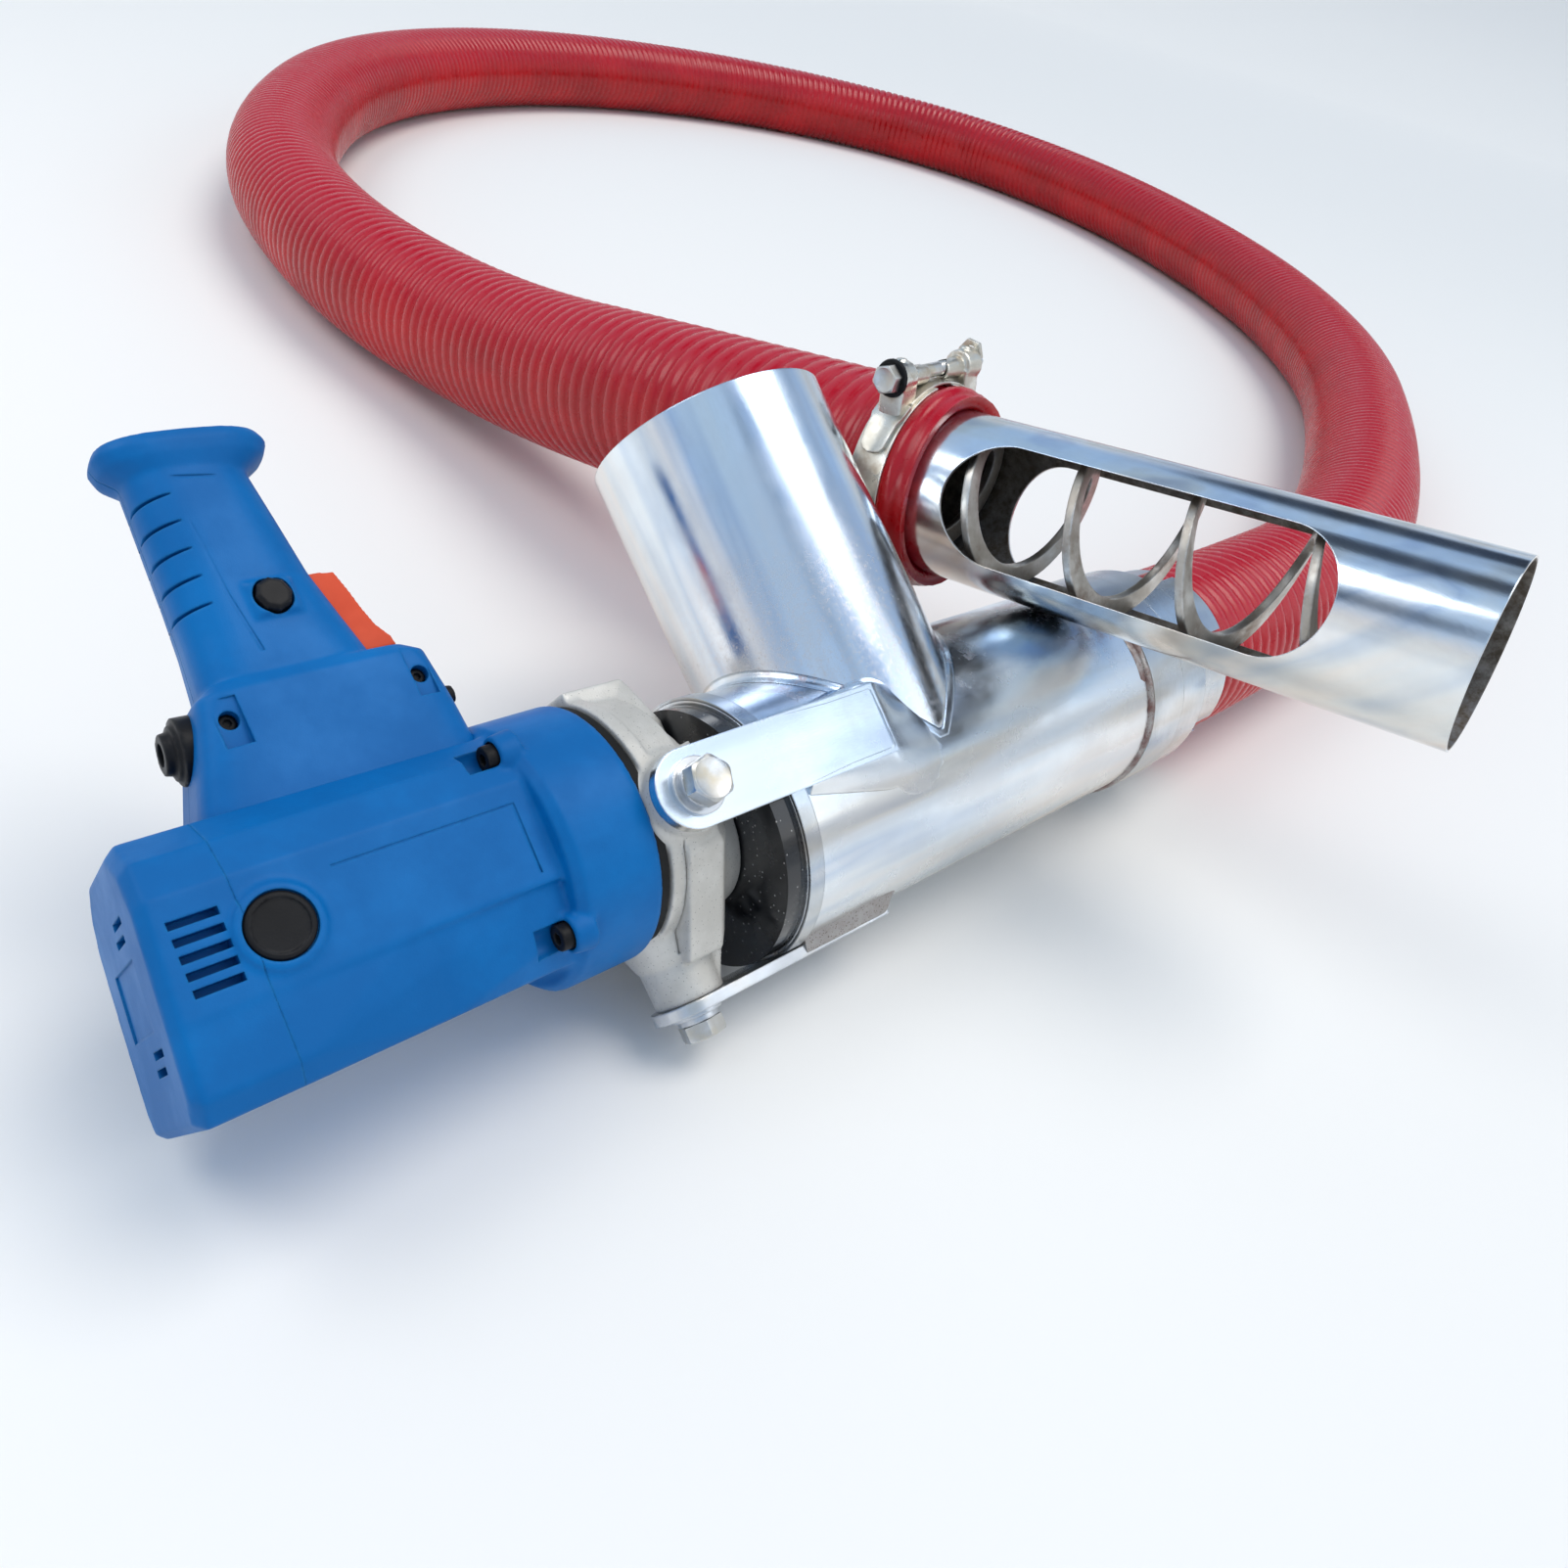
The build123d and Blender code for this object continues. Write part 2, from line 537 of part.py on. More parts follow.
# ---------------------------------------------------------------- build: gearcase
def gear_plate():
    """Plate between casing and gearcase that carries the rear ends of all three shafts."""
    plate = rod(FLANGE_RADIUS - 2.5, plate_x0, GEARCASE_REAR, MOTOR_RISE)
    plate += rod(FRONT_BEARING_RADIUS + 3, front_bearing_x0, plate_x0, MOTOR_RISE)
    plate -= rod(FRONT_BEARING_RADIUS, front_bearing_x0 - 1, front_bearing_x0 + 9, MOTOR_RISE)
    plate -= rod(SHAFT_RADIUS + 3.0, front_bearing_x0, GEARCASE_REAR + 1, MOTOR_RISE)
    plate -= rod(SPINDLE_JOURNAL + RUN, plate_x0 + 1, GEARCASE_REAR + 1)
    plate -= rod(LAY_RADIUS + RUN, plate_x0 + 1, GEARCASE_REAR + 1, LAY_Z, LAY_Y)
    for x, y, z in screw_places():
        plate -= rod(SCREW_RADIUS, x - 5, x + 5, z, y)
    return plate


def gear_case():
    """Cast gearcase: sloping shoulder, spindle nose, and three strap bosses."""
    case = rod(FLANGE_RADIUS + 0.5, GEARCASE_REAR, GEARCASE_FRONT, MOTOR_RISE)
    case = chamfer(case.faces().sort_by(Axis.X)[-1].edges(), 9.0)
    crown_top = MOTOR_RISE + FLANGE_RADIUS + 3
    crown = block(GEARCASE_REAR, GEARCASE_FRONT - 1, -21, 21, MOTOR_RISE + 30, crown_top)
    case += chamfer(crown.edges().filter_by(Axis.Y).sort_by(Axis.X)[-1:], 8.0)
    case += rod(NOSE_RADIUS, GEARCASE_FRONT - 1, NOSE_FRONT)
    reach = HEAD_RADIUS
    for direction in STRAP_SIDES:
        height = 0 if direction[1] == 0 else STRAP_Z
        case += bar(BOSS_RADIUS, (BOLT_X, 0, height), direction, reach)
    case &= block(GEARCASE_REAR, 0, -100, 100, -100, 100)
    cavity_x1 = GEARCASE_FRONT - GEARCASE_WALL
    case -= rod(FLANGE_RADIUS - 5.0, GEARCASE_REAR - 1, cavity_x1 - 4, MOTOR_RISE)
    case -= rod(SPINDLE_BEARING_RADIUS, spindle_bearing_x0, NOSE_FRONT + 1)
    case -= rod(SPINDLE_RADIUS + 2, cavity_x1 - 5, NOSE_FRONT)
    case -= rod(LAY_RADIUS + RUN, cavity_x1 - 5, GEARCASE_FRONT - 1, LAY_Z, LAY_Y)
    for x, y, z in screw_places():
        case -= rod(SCREW_RADIUS, x, x + 14, z, y)
    for direction in STRAP_SIDES:
        case -= bar(BOLT_RADIUS, boss_face(direction, -BOLT_DEPTH), direction, BOLT_DEPTH + 1)
    return case


def boss_face(direction, outward=0.0):
    """Centre of a strap boss's face, or a point further along its bolt."""
    height = STRAP_Z if direction[1] else 0.0
    reach = HEAD_RADIUS + outward
    return (BOLT_X, direction[1] * reach, height + direction[2] * reach)


machine("gear_plate", gear_plate())
machine("gear_case", gear_case())
case_screws = []
for x, y, z in screw_places():
    case_screws.append(rod(SCREW_RADIUS, x - 24, x + 14, z, y))
machine("gearcase_screws", *case_screws)

# ---------------------------------------------------------------- build: straps and bolts
strap_names = ["strap_near", "strap_far", "strap_below"]
bolts = []
flat_washers = []
spring_washers = []
for name, direction in zip(strap_names, STRAP_SIDES):
    height = STRAP_Z if direction[1] else 0.0
    foot = (0, direction[1] * HEAD_RADIUS, height + direction[2] * HEAD_RADIUS)
    face = Plane(origin=foot, x_dir=(1, 0, 0), z_dir=direction)
    length = STRAP_FRONT - STRAP_REAR
    outline = Pos((STRAP_FRONT + STRAP_REAR) / 2, 0) * SlotOverall(length, STRAP_WIDTH)
    outline += Pos(STRAP_FRONT - STRAP_WIDTH / 4, 0) * Rectangle(STRAP_WIDTH / 2, STRAP_WIDTH)
    strap = extrude(face * outline, STRAP_THICK)
    strap -= bar(BOLT_RADIUS + 0.5, boss_face(direction, -1), direction, STRAP_THICK + 2)
    # the side straps sit beside the tube's widest line, so their inner face is dressed to it
    strap -= rod(HEAD_RADIUS, 0, HEAD_LENGTH)
    strap -= rod(END_RING_RADIUS, -2.5, END_RING_WIDTH)
    machine(name, strap)
    shank = bar(BOLT_RADIUS, boss_face(direction, 0), direction, 20)
    washer = bar(WASHER_RADIUS, boss_face(direction, STRAP_THICK), direction, WASHER_THICK)
    flat_washers.append(washer - shank)
    seat = boss_face(direction, STRAP_THICK + WASHER_THICK)
    washer = bar(SPRING_WASHER_RADIUS, seat, direction, SPRING_WASHER_THICK)
    spring_washers.append(washer - shank)
    under_head = STRAP_THICK + WASHER_THICK + SPRING_WASHER_THICK
    bolt = bar(BOLT_RADIUS, boss_face(direction, -BOLT_DEPTH), direction, BOLT_DEPTH + under_head)
    bolt += hexagon(BOLT_FLATS, boss_face(direction, under_head), direction, BOLT_HEAD)
    bolts.append(bolt)
machine("strap_bolts", *bolts)
machine("strap_washers", *flat_washers)
machine("strap_spring_washers", *spring_washers)

# ---------------------------------------------------------------- build: head
spout_axis = (-math.sin(math.radians(SPOUT_TILT)), 0, math.cos(math.radians(SPOUT_TILT)))
head = ring(HEAD_RADIUS, HEAD_BORE, 0, HEAD_LENGTH)
spout_core = bar(SPOUT_BORE, (SPOUT_X, 0, 0), spout_axis, SPOUT_REACH + 20)
spout = bar(SPOUT_RADIUS, (SPOUT_X, 0, 0), spout_axis, SPOUT_REACH) - spout_core
socket_foot = Vector(SPOUT_X, 0, 0) + Vector(*spout_axis) * (SPOUT_REACH - SPOUT_SOCKET)
spout -= bar(SPOUT_BORE + MOUTH_EASE, socket_foot, spout_axis, SPOUT_SOCKET + 1)
machine("head_tube", head - spout_core)
machine("spout_tube", spout - rod(HEAD_RADIUS, -50, HEAD_LENGTH))
machine("head_end_ring", ring(END_RING_RADIUS, HEAD_RADIUS, 0, END_RING_WIDTH))
end_plate = rod(END_PLATE_RADIUS, NOSE_FRONT, NOSE_FRONT + END_PLATE_THICK)
end_plate += rod(HEAD_BORE, NOSE_FRONT + END_PLATE_THICK, 4)
end_plate -= rod(SPINDLE_RADIUS + 2, NOSE_FRONT - 1, 5)
machine("end_plate", end_plate)
machine("outlet_ring", ring(OUTLET_RING_RADIUS, HEAD_BORE, HEAD_LENGTH, RING_END))
coupling = ring(COUPLING_RADIUS, HOSE_RADIUS, RING_END, COUPLING_END)
coupling -= ring(COUPLING_RADIUS + 1, COUPLING_RADIUS - 1.5, RING_END, RING_END + 2)
coupling += ring(HOSE_RADIUS, HOSE_BORE - 1, RING_END, HOSE_START)
machine("hose_coupling", coupling)
sleeve = ring(HOSE_RADIUS + SLEEVE_WALL, HOSE_RADIUS, COUPLING_END, SLEEVE_END)
for angle in around(SLEEVE_SLOTS, 10.0):
    half_slot = SLEEVE_SLOT_WIDTH / 2
    low, high = HOSE_RADIUS - 10, HOSE_RADIUS + 10
    slot = block(COUPLING_END + 5, SLEEVE_END + 1, low, high, -half_slot, half_slot)
    sleeve -= Rot(angle, 0, 0) * slot
machine("slotted_sleeve", sleeve)

coupler = ring(COUPLER_RADIUS, SPINDLE_RADIUS, COUPLER_START, SPINDLE_END)
coupler += rod(COUPLER_RADIUS, SPINDLE_END, COUPLER_END)
arm_reach = SPIRAL_RADIUS - STRIP_WIDTH
arm = block(COUPLER_END - 8, COUPLER_END, -COUPLER_ARM, COUPLER_ARM, 0, arm_reach)
coupler += arm + Rot(180, 0, 0) * arm
coupler -= bar(PIN_RADIUS, (PIN_X, 0, -30), (0, 0, 1), 60)
machine("drive_coupler", coupler)
pins = []
for side in (-1, 1):
    foot = (PIN_X, 0, side * SPINDLE_RADIUS)
    pins.append(bar(PIN_RADIUS, foot, (0, 0, side), COUPLER_RADIUS - SPINDLE_RADIUS - 1))
machine("coupler_pin", *pins)
along = Plane(origin=(HEAD_SPIRAL_START, 0, 0), x_dir=(0, 0, 1), z_dir=(1, 0, 0))
machine("head_spiral", strip_spiral(HEAD_SPIRAL_END - HEAD_SPIRAL_START, along))

# ---------------------------------------------------------------- build: intake
yaw = math.radians(INTAKE_YAW)
rise = math.radians(INTAKE_RISE)
intake_dir = Vector(math.cos(rise) * math.cos(yaw), math.cos(rise) * math.sin(yaw), math.sin(rise))
mouth = Vector(*INTAKE_MOUTH)


def intake_point(back):
    """A point on the intake tube's centre line, measured back from its open end."""
    return mouth - intake_dir * back


WINDOW_FACING = Vector(-0.945, -0.065, 0.319)  # the way the nearer window looks
inner_end = intake_point(INTAKE_LENGTH)
intake = bar(INTAKE_RADIUS, inner_end, intake_dir, INTAKE_LENGTH)
intake -= bar(INTAKE_BORE, intake_point(INTAKE_LENGTH + 1), intake_dir, INTAKE_LENGTH + 2)
window_mid = intake_point(WINDOW_START + WINDOW_LENGTH / 2)
window_out = intake_dir.cross(WINDOW_FACING).cross(intake_dir)
window_plane = Plane(origin=window_mid, x_dir=intake_dir, z_dir=window_out)
window = extrude(window_plane * SlotOverall(WINDOW_LENGTH, WINDOW_WIDTH), 80, both=True)
keep("intake_tube", intake - window)
intake_spiral_start = intake_point(INTAKE_LENGTH - INTAKE_SPIRAL_INSET)
intake_plane = Plane(origin=intake_spiral_start, z_dir=intake_dir)
spiral_length = INTAKE_LENGTH - INTAKE_SPIRAL_INSET - SPIRAL_BACK
keep("intake_spiral", strip_spiral(spiral_length, intake_plane))

# ---------------------------------------------------------------- build: hose
hose_end = intake_point(INTAKE_LENGTH - INTAKE_IN_HOSE)
last_corner = intake_point(HOSE_LAST_CORNER)
route = [(HOSE_START, 0.0, SPINDLE_HEIGHT)] + HOSE_LOOP + [tuple(last_corner), tuple(hose_end)]


def corner_radii(points):
    """For each corner, the largest tidy radius: 0.45 of its shorter run."""
    radii = []
    for before, corner, after in zip(points, points[1:], points[2:]):
        into = Vector(*corner) - Vector(*before)
        out = Vector(*after) - Vector(*corner)
        turn = math.radians(into.get_angle(out))
        radii.append(0.45 * min(into.length, out.length) / math.tan(turn / 2))
    return radii


radii = corner_radii(route)
hose_line = FilletPolyline(*route, radius=radii)
hose_start = Plane(origin=hose_line @ 0, z_dir=hose_line % 0)
hose = sweep(hose_start * (Circle(HOSE_RADIUS) - Circle(HOSE_BORE)), path=hose_line)
keep("hose", hose)
section = math.pi * (HOSE_RADIUS**2 - HOSE_BORE**2)
print("hose bend radii", [round(r) for r in radii])
volume_ratio = hose.volume / (section * hose_line.length)
print("hose length", round(hose_line.length), "volume ratio", round(volume_ratio, 4))

# ---------------------------------------------------------------- build: hose clamp
clamp_up = (Vector(0, 0, 1) - intake_dir * intake_dir.Z).normalized()
clamp_out = intake_dir.cross(clamp_up).normalized()
clamp_mid = intake_point(CLAMP_BACK)
band_start = clamp_mid - intake_dir * (BAND_WIDTH / 2)
band_outer = HOSE_RADIUS + BAND_THICK
band = bar(band_outer, band_start, intake_dir, BAND_WIDTH)
band -= bar(HOSE_RADIUS, band_start - intake_dir, intake_dir, BAND_WIDTH + 2)
lift = clamp_mid + clamp_up * (band_outer + CLAMP_LIFT)
gap_plane = Plane(origin=clamp_mid + clamp_up * HOSE_RADIUS, x_dir=intake_dir, z_dir=clamp_up)
band -= gap_plane * Box(BAND_WIDTH + 2, 16, 20)
keep("clamp_band", band)
bridge_outer = band_outer + BRIDGE_THICK
bridge = bar(bridge_outer, band_start + intake_dir * 2, intake_dir, BAND_WIDTH - 4)
bridge -= bar(band_outer, band_start, intake_dir, BAND_WIDTH + 2)
keep("clamp_bridge", bridge & (gap_plane * Box(BAND_WIDTH, 56, 60)))
trunnions = []
for side in (-1, 1):
    seat = clamp_mid + clamp_out * (side * CLAMP_REACH)
    drop = math.sqrt(band_outer**2 - CLAMP_REACH**2)
    post = Plane(origin=seat + clamp_up * (drop + 2.5), x_dir=intake_dir, z_dir=clamp_up)
    loop = post * Box(BAND_WIDTH - 6, 9, 22, align=MIN_Z)
    loop -= bar(bridge_outer, band_start, intake_dir, BAND_WIDTH)
    loop -= bar(CLAMP_BOLT_RADIUS + 0.1, lift - clamp_out * 60, clamp_out, 120)
    trunnions.append(loop)
keep("clamp_trunnions", *trunnions)
bolt_start = lift - clamp_out * (CLAMP_BOLT_LENGTH / 2)
bolt = bar(CLAMP_BOLT_RADIUS, bolt_start, clamp_out, CLAMP_BOLT_LENGTH)
bolt += hexagon(CLAMP_FLATS, lift + clamp_out * (CLAMP_REACH + 4.6), clamp_out, 6.0)
keep("clamp_bolt", bolt)
nut = hexagon(CLAMP_FLATS, bolt_start, clamp_out, 2.3)
nut -= bar(CLAMP_BOLT_RADIUS, bolt_start - clamp_out, clamp_out, 30)
keep("clamp_nut", nut)


# ---------------------------------------------------------------- build: spiral in the hose
def hose_spiral():
    """The spiral as it lies in the bent hose, drawn three turns at a time."""
    first = HEAD_SPIRAL_END + SPIRAL_BREAK - HOSE_START
    last = hose_line.length - (INTAKE_IN_HOSE - INTAKE_SPIRAL_INSET + SPIRAL_BREAK)
    mid = SPIRAL_RADIUS - STRIP_WIDTH / 2
    turns = (last - first) / SPIRAL_PITCH
    pieces = max(1, round(turns / 3))
    steps = 24
    solids = []
    for piece in range(pieces):
        ends = [first + (last - first) * (piece + i) / pieces for i in (0, 1)]
        points = []
        for i in range(steps + 1):
            at = ends[0] + (ends[1] - ends[0]) * i / steps
            centre = hose_line.position_at(at / hose_line.length)
            ahead = hose_line.tangent_at(at / hose_line.length)
            sideways = Vector(0, 0, 1).cross(ahead).normalized()
            upward = ahead.cross(sideways)
            angle = 2 * math.pi * (at - first) / SPIRAL_PITCH
            across = sideways * (mid * math.cos(angle)) + upward * (mid * math.sin(angle))
            points.append(centre + across)
        line = Spline(*points)
        centre = hose_line.position_at(ends[0] / hose_line.length)
        section = Plane(origin=line @ 0, x_dir=(line @ 0) - centre, z_dir=line % 0)
        strip = sweep(section * Rectangle(STRIP_WIDTH, STRIP_THICK), path=line, is_frenet=True)
        solids.append(strip)
    return solids


keep("hose_spiral", *hose_spiral())

# ---------------------------------------------------------------- write
to_origin = Location((-ORIGIN_X, -ORIGIN_Y, 0))
for name, shape in nodes.items():
    export_step(to_origin * shape, f"parts/{name}.step")
rigid = [to_origin * s for n, s in nodes.items() if n not in ("hose", "hose_spiral")]
box = Compound(children=rigid).bounding_box()
print("rigid box", [round(v, 2) for v in box.min], [round(v, 2) for v in box.max])
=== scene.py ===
"""Looks of a hose-type grain auger: blue drill motor, cast gearcase, steel T-head, ribbed
red hose and slotted intake tube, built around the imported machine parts."""
import json
import math

import bmesh
import bpy
import numpy as np
from mathutils import Matrix, Vector, noise


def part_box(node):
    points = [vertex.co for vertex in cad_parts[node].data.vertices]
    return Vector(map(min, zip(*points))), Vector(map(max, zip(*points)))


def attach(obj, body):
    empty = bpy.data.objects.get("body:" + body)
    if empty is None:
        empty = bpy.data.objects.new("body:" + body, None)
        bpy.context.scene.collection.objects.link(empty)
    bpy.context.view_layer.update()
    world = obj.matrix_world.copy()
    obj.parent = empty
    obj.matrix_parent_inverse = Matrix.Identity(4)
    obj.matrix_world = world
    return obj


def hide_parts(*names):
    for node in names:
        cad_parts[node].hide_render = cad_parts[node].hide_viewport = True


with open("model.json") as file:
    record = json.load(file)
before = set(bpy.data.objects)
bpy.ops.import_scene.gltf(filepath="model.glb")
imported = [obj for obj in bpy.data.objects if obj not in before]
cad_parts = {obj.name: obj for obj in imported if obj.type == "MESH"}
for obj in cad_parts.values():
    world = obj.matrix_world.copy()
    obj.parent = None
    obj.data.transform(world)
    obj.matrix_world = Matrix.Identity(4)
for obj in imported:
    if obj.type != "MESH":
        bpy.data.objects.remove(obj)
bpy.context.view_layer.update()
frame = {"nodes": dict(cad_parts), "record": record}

# ================================================================ where the machine lies
# The motor, gearbox and head are one straight unit that lies leaned back on the floor.
# Everything on it is laid out in millimetres about the spindle line: X towards the hose,
# Y away from the viewer, Z up the handle. The end ring marks where that line starts.
LEAN = math.radians(-53)
ring_low, ring_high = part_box("head_end_ring")
spindle_start = Vector((ring_low.x, (ring_low.y + ring_high.y) / 2, (ring_low.z + ring_high.z) / 2))
lying = Matrix.Translation(spindle_start) @ Matrix.Rotation(LEAN, 4, "X")
machine_mm = lying @ Matrix.Scale(0.001, 4)

# ================================================================ camera
# The viewer stands over the motor end and looks down along the machine, with a slight
# tilt of the head.
EYE = (-0.3551, -0.2629, 0.3961)


def stand(name, data):
    """Puts a new object into the scene."""
    made = bpy.data.objects.new(name, data)
    bpy.context.scene.collection.objects.link(made)
    return made


camera_data = bpy.data.cameras.new("camera")
camera_data.sensor_width = 36.0
camera_data.lens = 26.97
camera = stand("camera", camera_data)
turn = Matrix.Rotation(math.radians(-51.4), 4, "Z") @ Matrix.Rotation(math.radians(53.067), 4, "X")
roll = Matrix.Rotation(math.radians(15.475), 4, "Z")
camera.matrix_world = Matrix.Translation(EYE) @ turn @ roll
bpy.context.scene.camera = camera
bpy.context.scene.view_settings.view_transform = "Standard"

# ================================================================ floor and light
# A plain pale studio floor under two large soft lamps. The surrounding air is pale blue
# overhead and warm near the ground, as in an open doorway, so bare metal has something
# to mirror.


def set_sockets(tree, node, sockets):
    """Sets a node's inputs; one given as another node's socket is linked to it."""
    for key, value in sockets.items():
        if isinstance(value, bpy.types.NodeSocket):
            tree.links.new(value, node.inputs[key])
        else:
            node.inputs[key].default_value = value


def put(tree, kind, sockets=None, **settings):
    """Adds a shader node with its settings and its inputs."""
    made = tree.nodes.new(kind)
    for key, value in settings.items():
        setattr(made, key, value)
    set_sockets(tree, made, sockets or {})
    return made


def clouds(tree, where, scale, detail, roughness=0.5):
    """A cloudy value over a surface."""
    sockets = {"Vector": where, "Scale": scale, "Detail": detail, "Roughness": roughness}
    return put(tree, "ShaderNodeTexNoise", sockets).outputs[0]


def span(tree, value, low, high, start=0.0, end=1.0):
    """Maps a value from start..end to low..high, clamped."""
    sockets = {"Value": value, "From Min": start, "From Max": end, "To Min": low, "To Max": high}
    return put(tree, "ShaderNodeMapRange", sockets).outputs[0]


def tinted(tree, share, base, tint):
    """One colour multiplied by another, by a share."""
    sockets = {0: share, 6: base, 7: tint}
    return put(tree, "ShaderNodeMix", sockets, data_type="RGBA", blend_type="MULTIPLY").outputs[2]


def colour_ramp(tree, value, stops):
    """A ramp through (position, colour) stops."""
    ramp = put(tree, "ShaderNodeValToRGB", {"Fac": value})
    band = ramp.color_ramp
    while len(band.elements) < len(stops):
        band.elements.new(0.5)
    for element, (place, colour) in zip(band.elements, stops):
        element.position = place
        element.color = (*colour, 1.0)
    return ramp.outputs["Color"]


world = bpy.data.worlds.new("air")
world.use_nodes = True
bpy.context.scene.world = world
air = world.node_tree
air.nodes.clear()
direction = put(air, "ShaderNodeTexCoord").outputs["Generated"]
height = put(air, "ShaderNodeSeparateXYZ", {"Vector": direction}).outputs["Z"]
sky = colour_ramp(air, span(air, height, 0.0, 1.0, -1.0), [
    (0.0, (0.40, 0.34, 0.28)),
    (0.495, (0.34, 0.30, 0.26)),
    (0.51, (0.80, 0.79, 0.77)),
    (0.60, (0.95, 0.96, 1.0)),
    (0.74, (0.56, 0.74, 1.0)),
    (1.0, (0.64, 0.80, 1.0)),
])
shade = colour_ramp(air, clouds(air, direction, 1.7, 1.5, 0.4), [
    (0.34, (0.10, 0.10, 0.11)),
    (0.42, (1.0, 1.0, 1.0)),
    (0.60, (1.0, 0.97, 0.9)),
])
backdrop = put(air, "ShaderNodeBackground", {"Color": tinted(air, 1.0, sky, shade), "Strength": 0.80})
put(air, "ShaderNodeOutputWorld", {"Surface": backdrop.outputs[0]})


def soft_lamp(name, place, aim, size, watts, colour):
    """A square area lamp that looks at a point."""
    data = bpy.data.lights.new(name, "AREA")
    data.size = size
    data.energy = watts
    data.color = colour
    lamp = stand(name, data)
    lamp.location = place
    lamp.rotation_euler = (Vector(aim) - Vector(place)).to_track_quat("-Z", "Y").to_euler()


soft_lamp("key_lamp", (-1.1, 0.9, 1.9), (0.1, 0.1, 0.1), 1.1, 12, (1.0, 0.97, 0.92))
soft_lamp("fill_lamp", (1.4, -1.6, 1.6), (0.2, 0.1, 0.0), 1.6, 8, (1.0, 0.97, 0.92))
daylight = bpy.data.lights.new("daylight", "SUN")
daylight.energy = 1.25
daylight.angle = math.radians(35)
daylight.color = (1.0, 0.93, 0.84)
daylight_lamp = stand("daylight", daylight)
daylight_lamp.rotation_euler = Vector((0.35, -0.15, 1.0)).to_track_quat("Z", "Y").to_euler()

# the floor sweeps up far behind the machine, as studio paper does
FLOOR_REACH = 9.0
SWEEP = 3.0
SIDES = 64
swept = [
    (FLOOR_REACH + SWEEP * math.sin(a), SWEEP - SWEEP * math.cos(a)) for a in np.linspace(0.1, 1.5, 14)
]
floor_rings = [(FLOOR_REACH, 0.0)] + swept
floor_turns = np.linspace(0, 2 * math.pi, SIDES, endpoint=False)
floor_points = [(0.0, 0.0, 0.0)]
floor_points += [(r * math.cos(a), r * math.sin(a), z) for r, z in floor_rings for a in floor_turns]
floor_faces = [(0, 1 + i, 1 + (i + 1) % SIDES) for i in range(SIDES)]
for ring in range(len(floor_rings) - 1):
    near = 1 + ring * SIDES
    far = near + SIDES
    floor_faces += [(near + i, far + i, far + (i + 1) % SIDES, near + (i + 1) % SIDES) for i in range(SIDES)]
floor_mesh = bpy.data.meshes.new("floor")
floor_mesh.from_pydata(floor_points, [], floor_faces)
floor_mesh.shade_smooth()
floor = stand("floor", floor_mesh)
floor_paint = bpy.data.materials.new("pale_floor")
floor_paint.use_nodes = True
floor_shader = floor_paint.node_tree.nodes["Principled BSDF"]
set_sockets(floor_paint.node_tree, floor_shader, {"Base Color": (0.90, 0.885, 0.86, 1.0), "Roughness": 0.9})
floor_mesh.materials.append(floor_paint)

# ================================================================ red hose
# Ribbed PVC hose with a smooth bore, 5.1 m long, one open loop on the floor. Its wall is
# extruded with fine rings a few millimetres apart; the end under the clamp bulges into
# a lip. It is pushed into the coupling ring at the head and onto the intake tube.
HOSE_RADIUS = 0.053
HOSE_BORE = 0.044
RIB_PITCH = 0.0118
RIB_DEPTH = 0.0021
HOSE_SIDES = 36
RIB_SHAPE = np.array([0.0, 0.06, 0.3, 1.0, 0.3, 0.06])
LIP = 0.0016
COUPLING_DEPTH = 0.022
INTAKE_LENGTH = 0.345
intake_spin = next(j for j in frame["record"]["behaviour"]["joints"] if j["name"] == "intake_spin")
intake_way = Vector(intake_spin["axis"]).normalized()
tube_low, tube_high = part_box("intake_tube")
intake_open_end = (tube_low + tube_high) / 2 + intake_way * (INTAKE_LENGTH / 2)
coupling_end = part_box("hose_coupling")[1].x
hose_exit = Vector((coupling_end - COUPLING_DEPTH, spindle_start.y, spindle_start.z))


def up_the_intake(back):
    """A point on the intake tube's centre line, metres back from its open end."""
    return intake_open_end - intake_way * back


hose_route = [
    tuple(hose_exit),
    (0.379, 0.00296, 0.062),
    (0.629, 0.02296, 0.054),
    (0.929, 0.13796, 0.054),
    (1.269, 0.32796, 0.054),
    (1.559, 0.64296, 0.054),
    (1.739, 1.06296, 0.054),
    (1.679, 1.43296, 0.054),
    (1.359, 1.66296, 0.054),
    (0.899, 1.67296, 0.054),
    (0.479, 1.45296, 0.054),
    (0.199, 1.06296, 0.054),
    (0.129, 0.76296, 0.054),
    (0.142, 0.51296, 0.063),
    tuple(up_the_intake(0.455)),
    tuple(up_the_intake(0.271)),
]
line_data = bpy.data.curves.new("hose_line", "CURVE")
line_data.dimensions = "3D"
line_data.resolution_u = 60
spline = line_data.splines.new("NURBS")
spline.points.add(len(hose_route) - 1)
for point, place in zip(spline.points, hose_route):
    point.co = (*place, 1.0)
spline.order_u = 3
spline.use_endpoint_u = True
line_object = stand("hose_line", line_data)
line_mesh = bpy.data.meshes.new_from_object(line_object)
hose_centre = np.array([v.co for v in line_mesh.vertices])
bpy.data.objects.remove(line_object)
bpy.data.meshes.remove(line_mesh)
steps = np.linalg.norm(np.diff(hose_centre, axis=0), axis=1)
hose_run = np.concatenate([[0.0], np.cumsum(steps)])
hose_length = float(hose_run[-1])


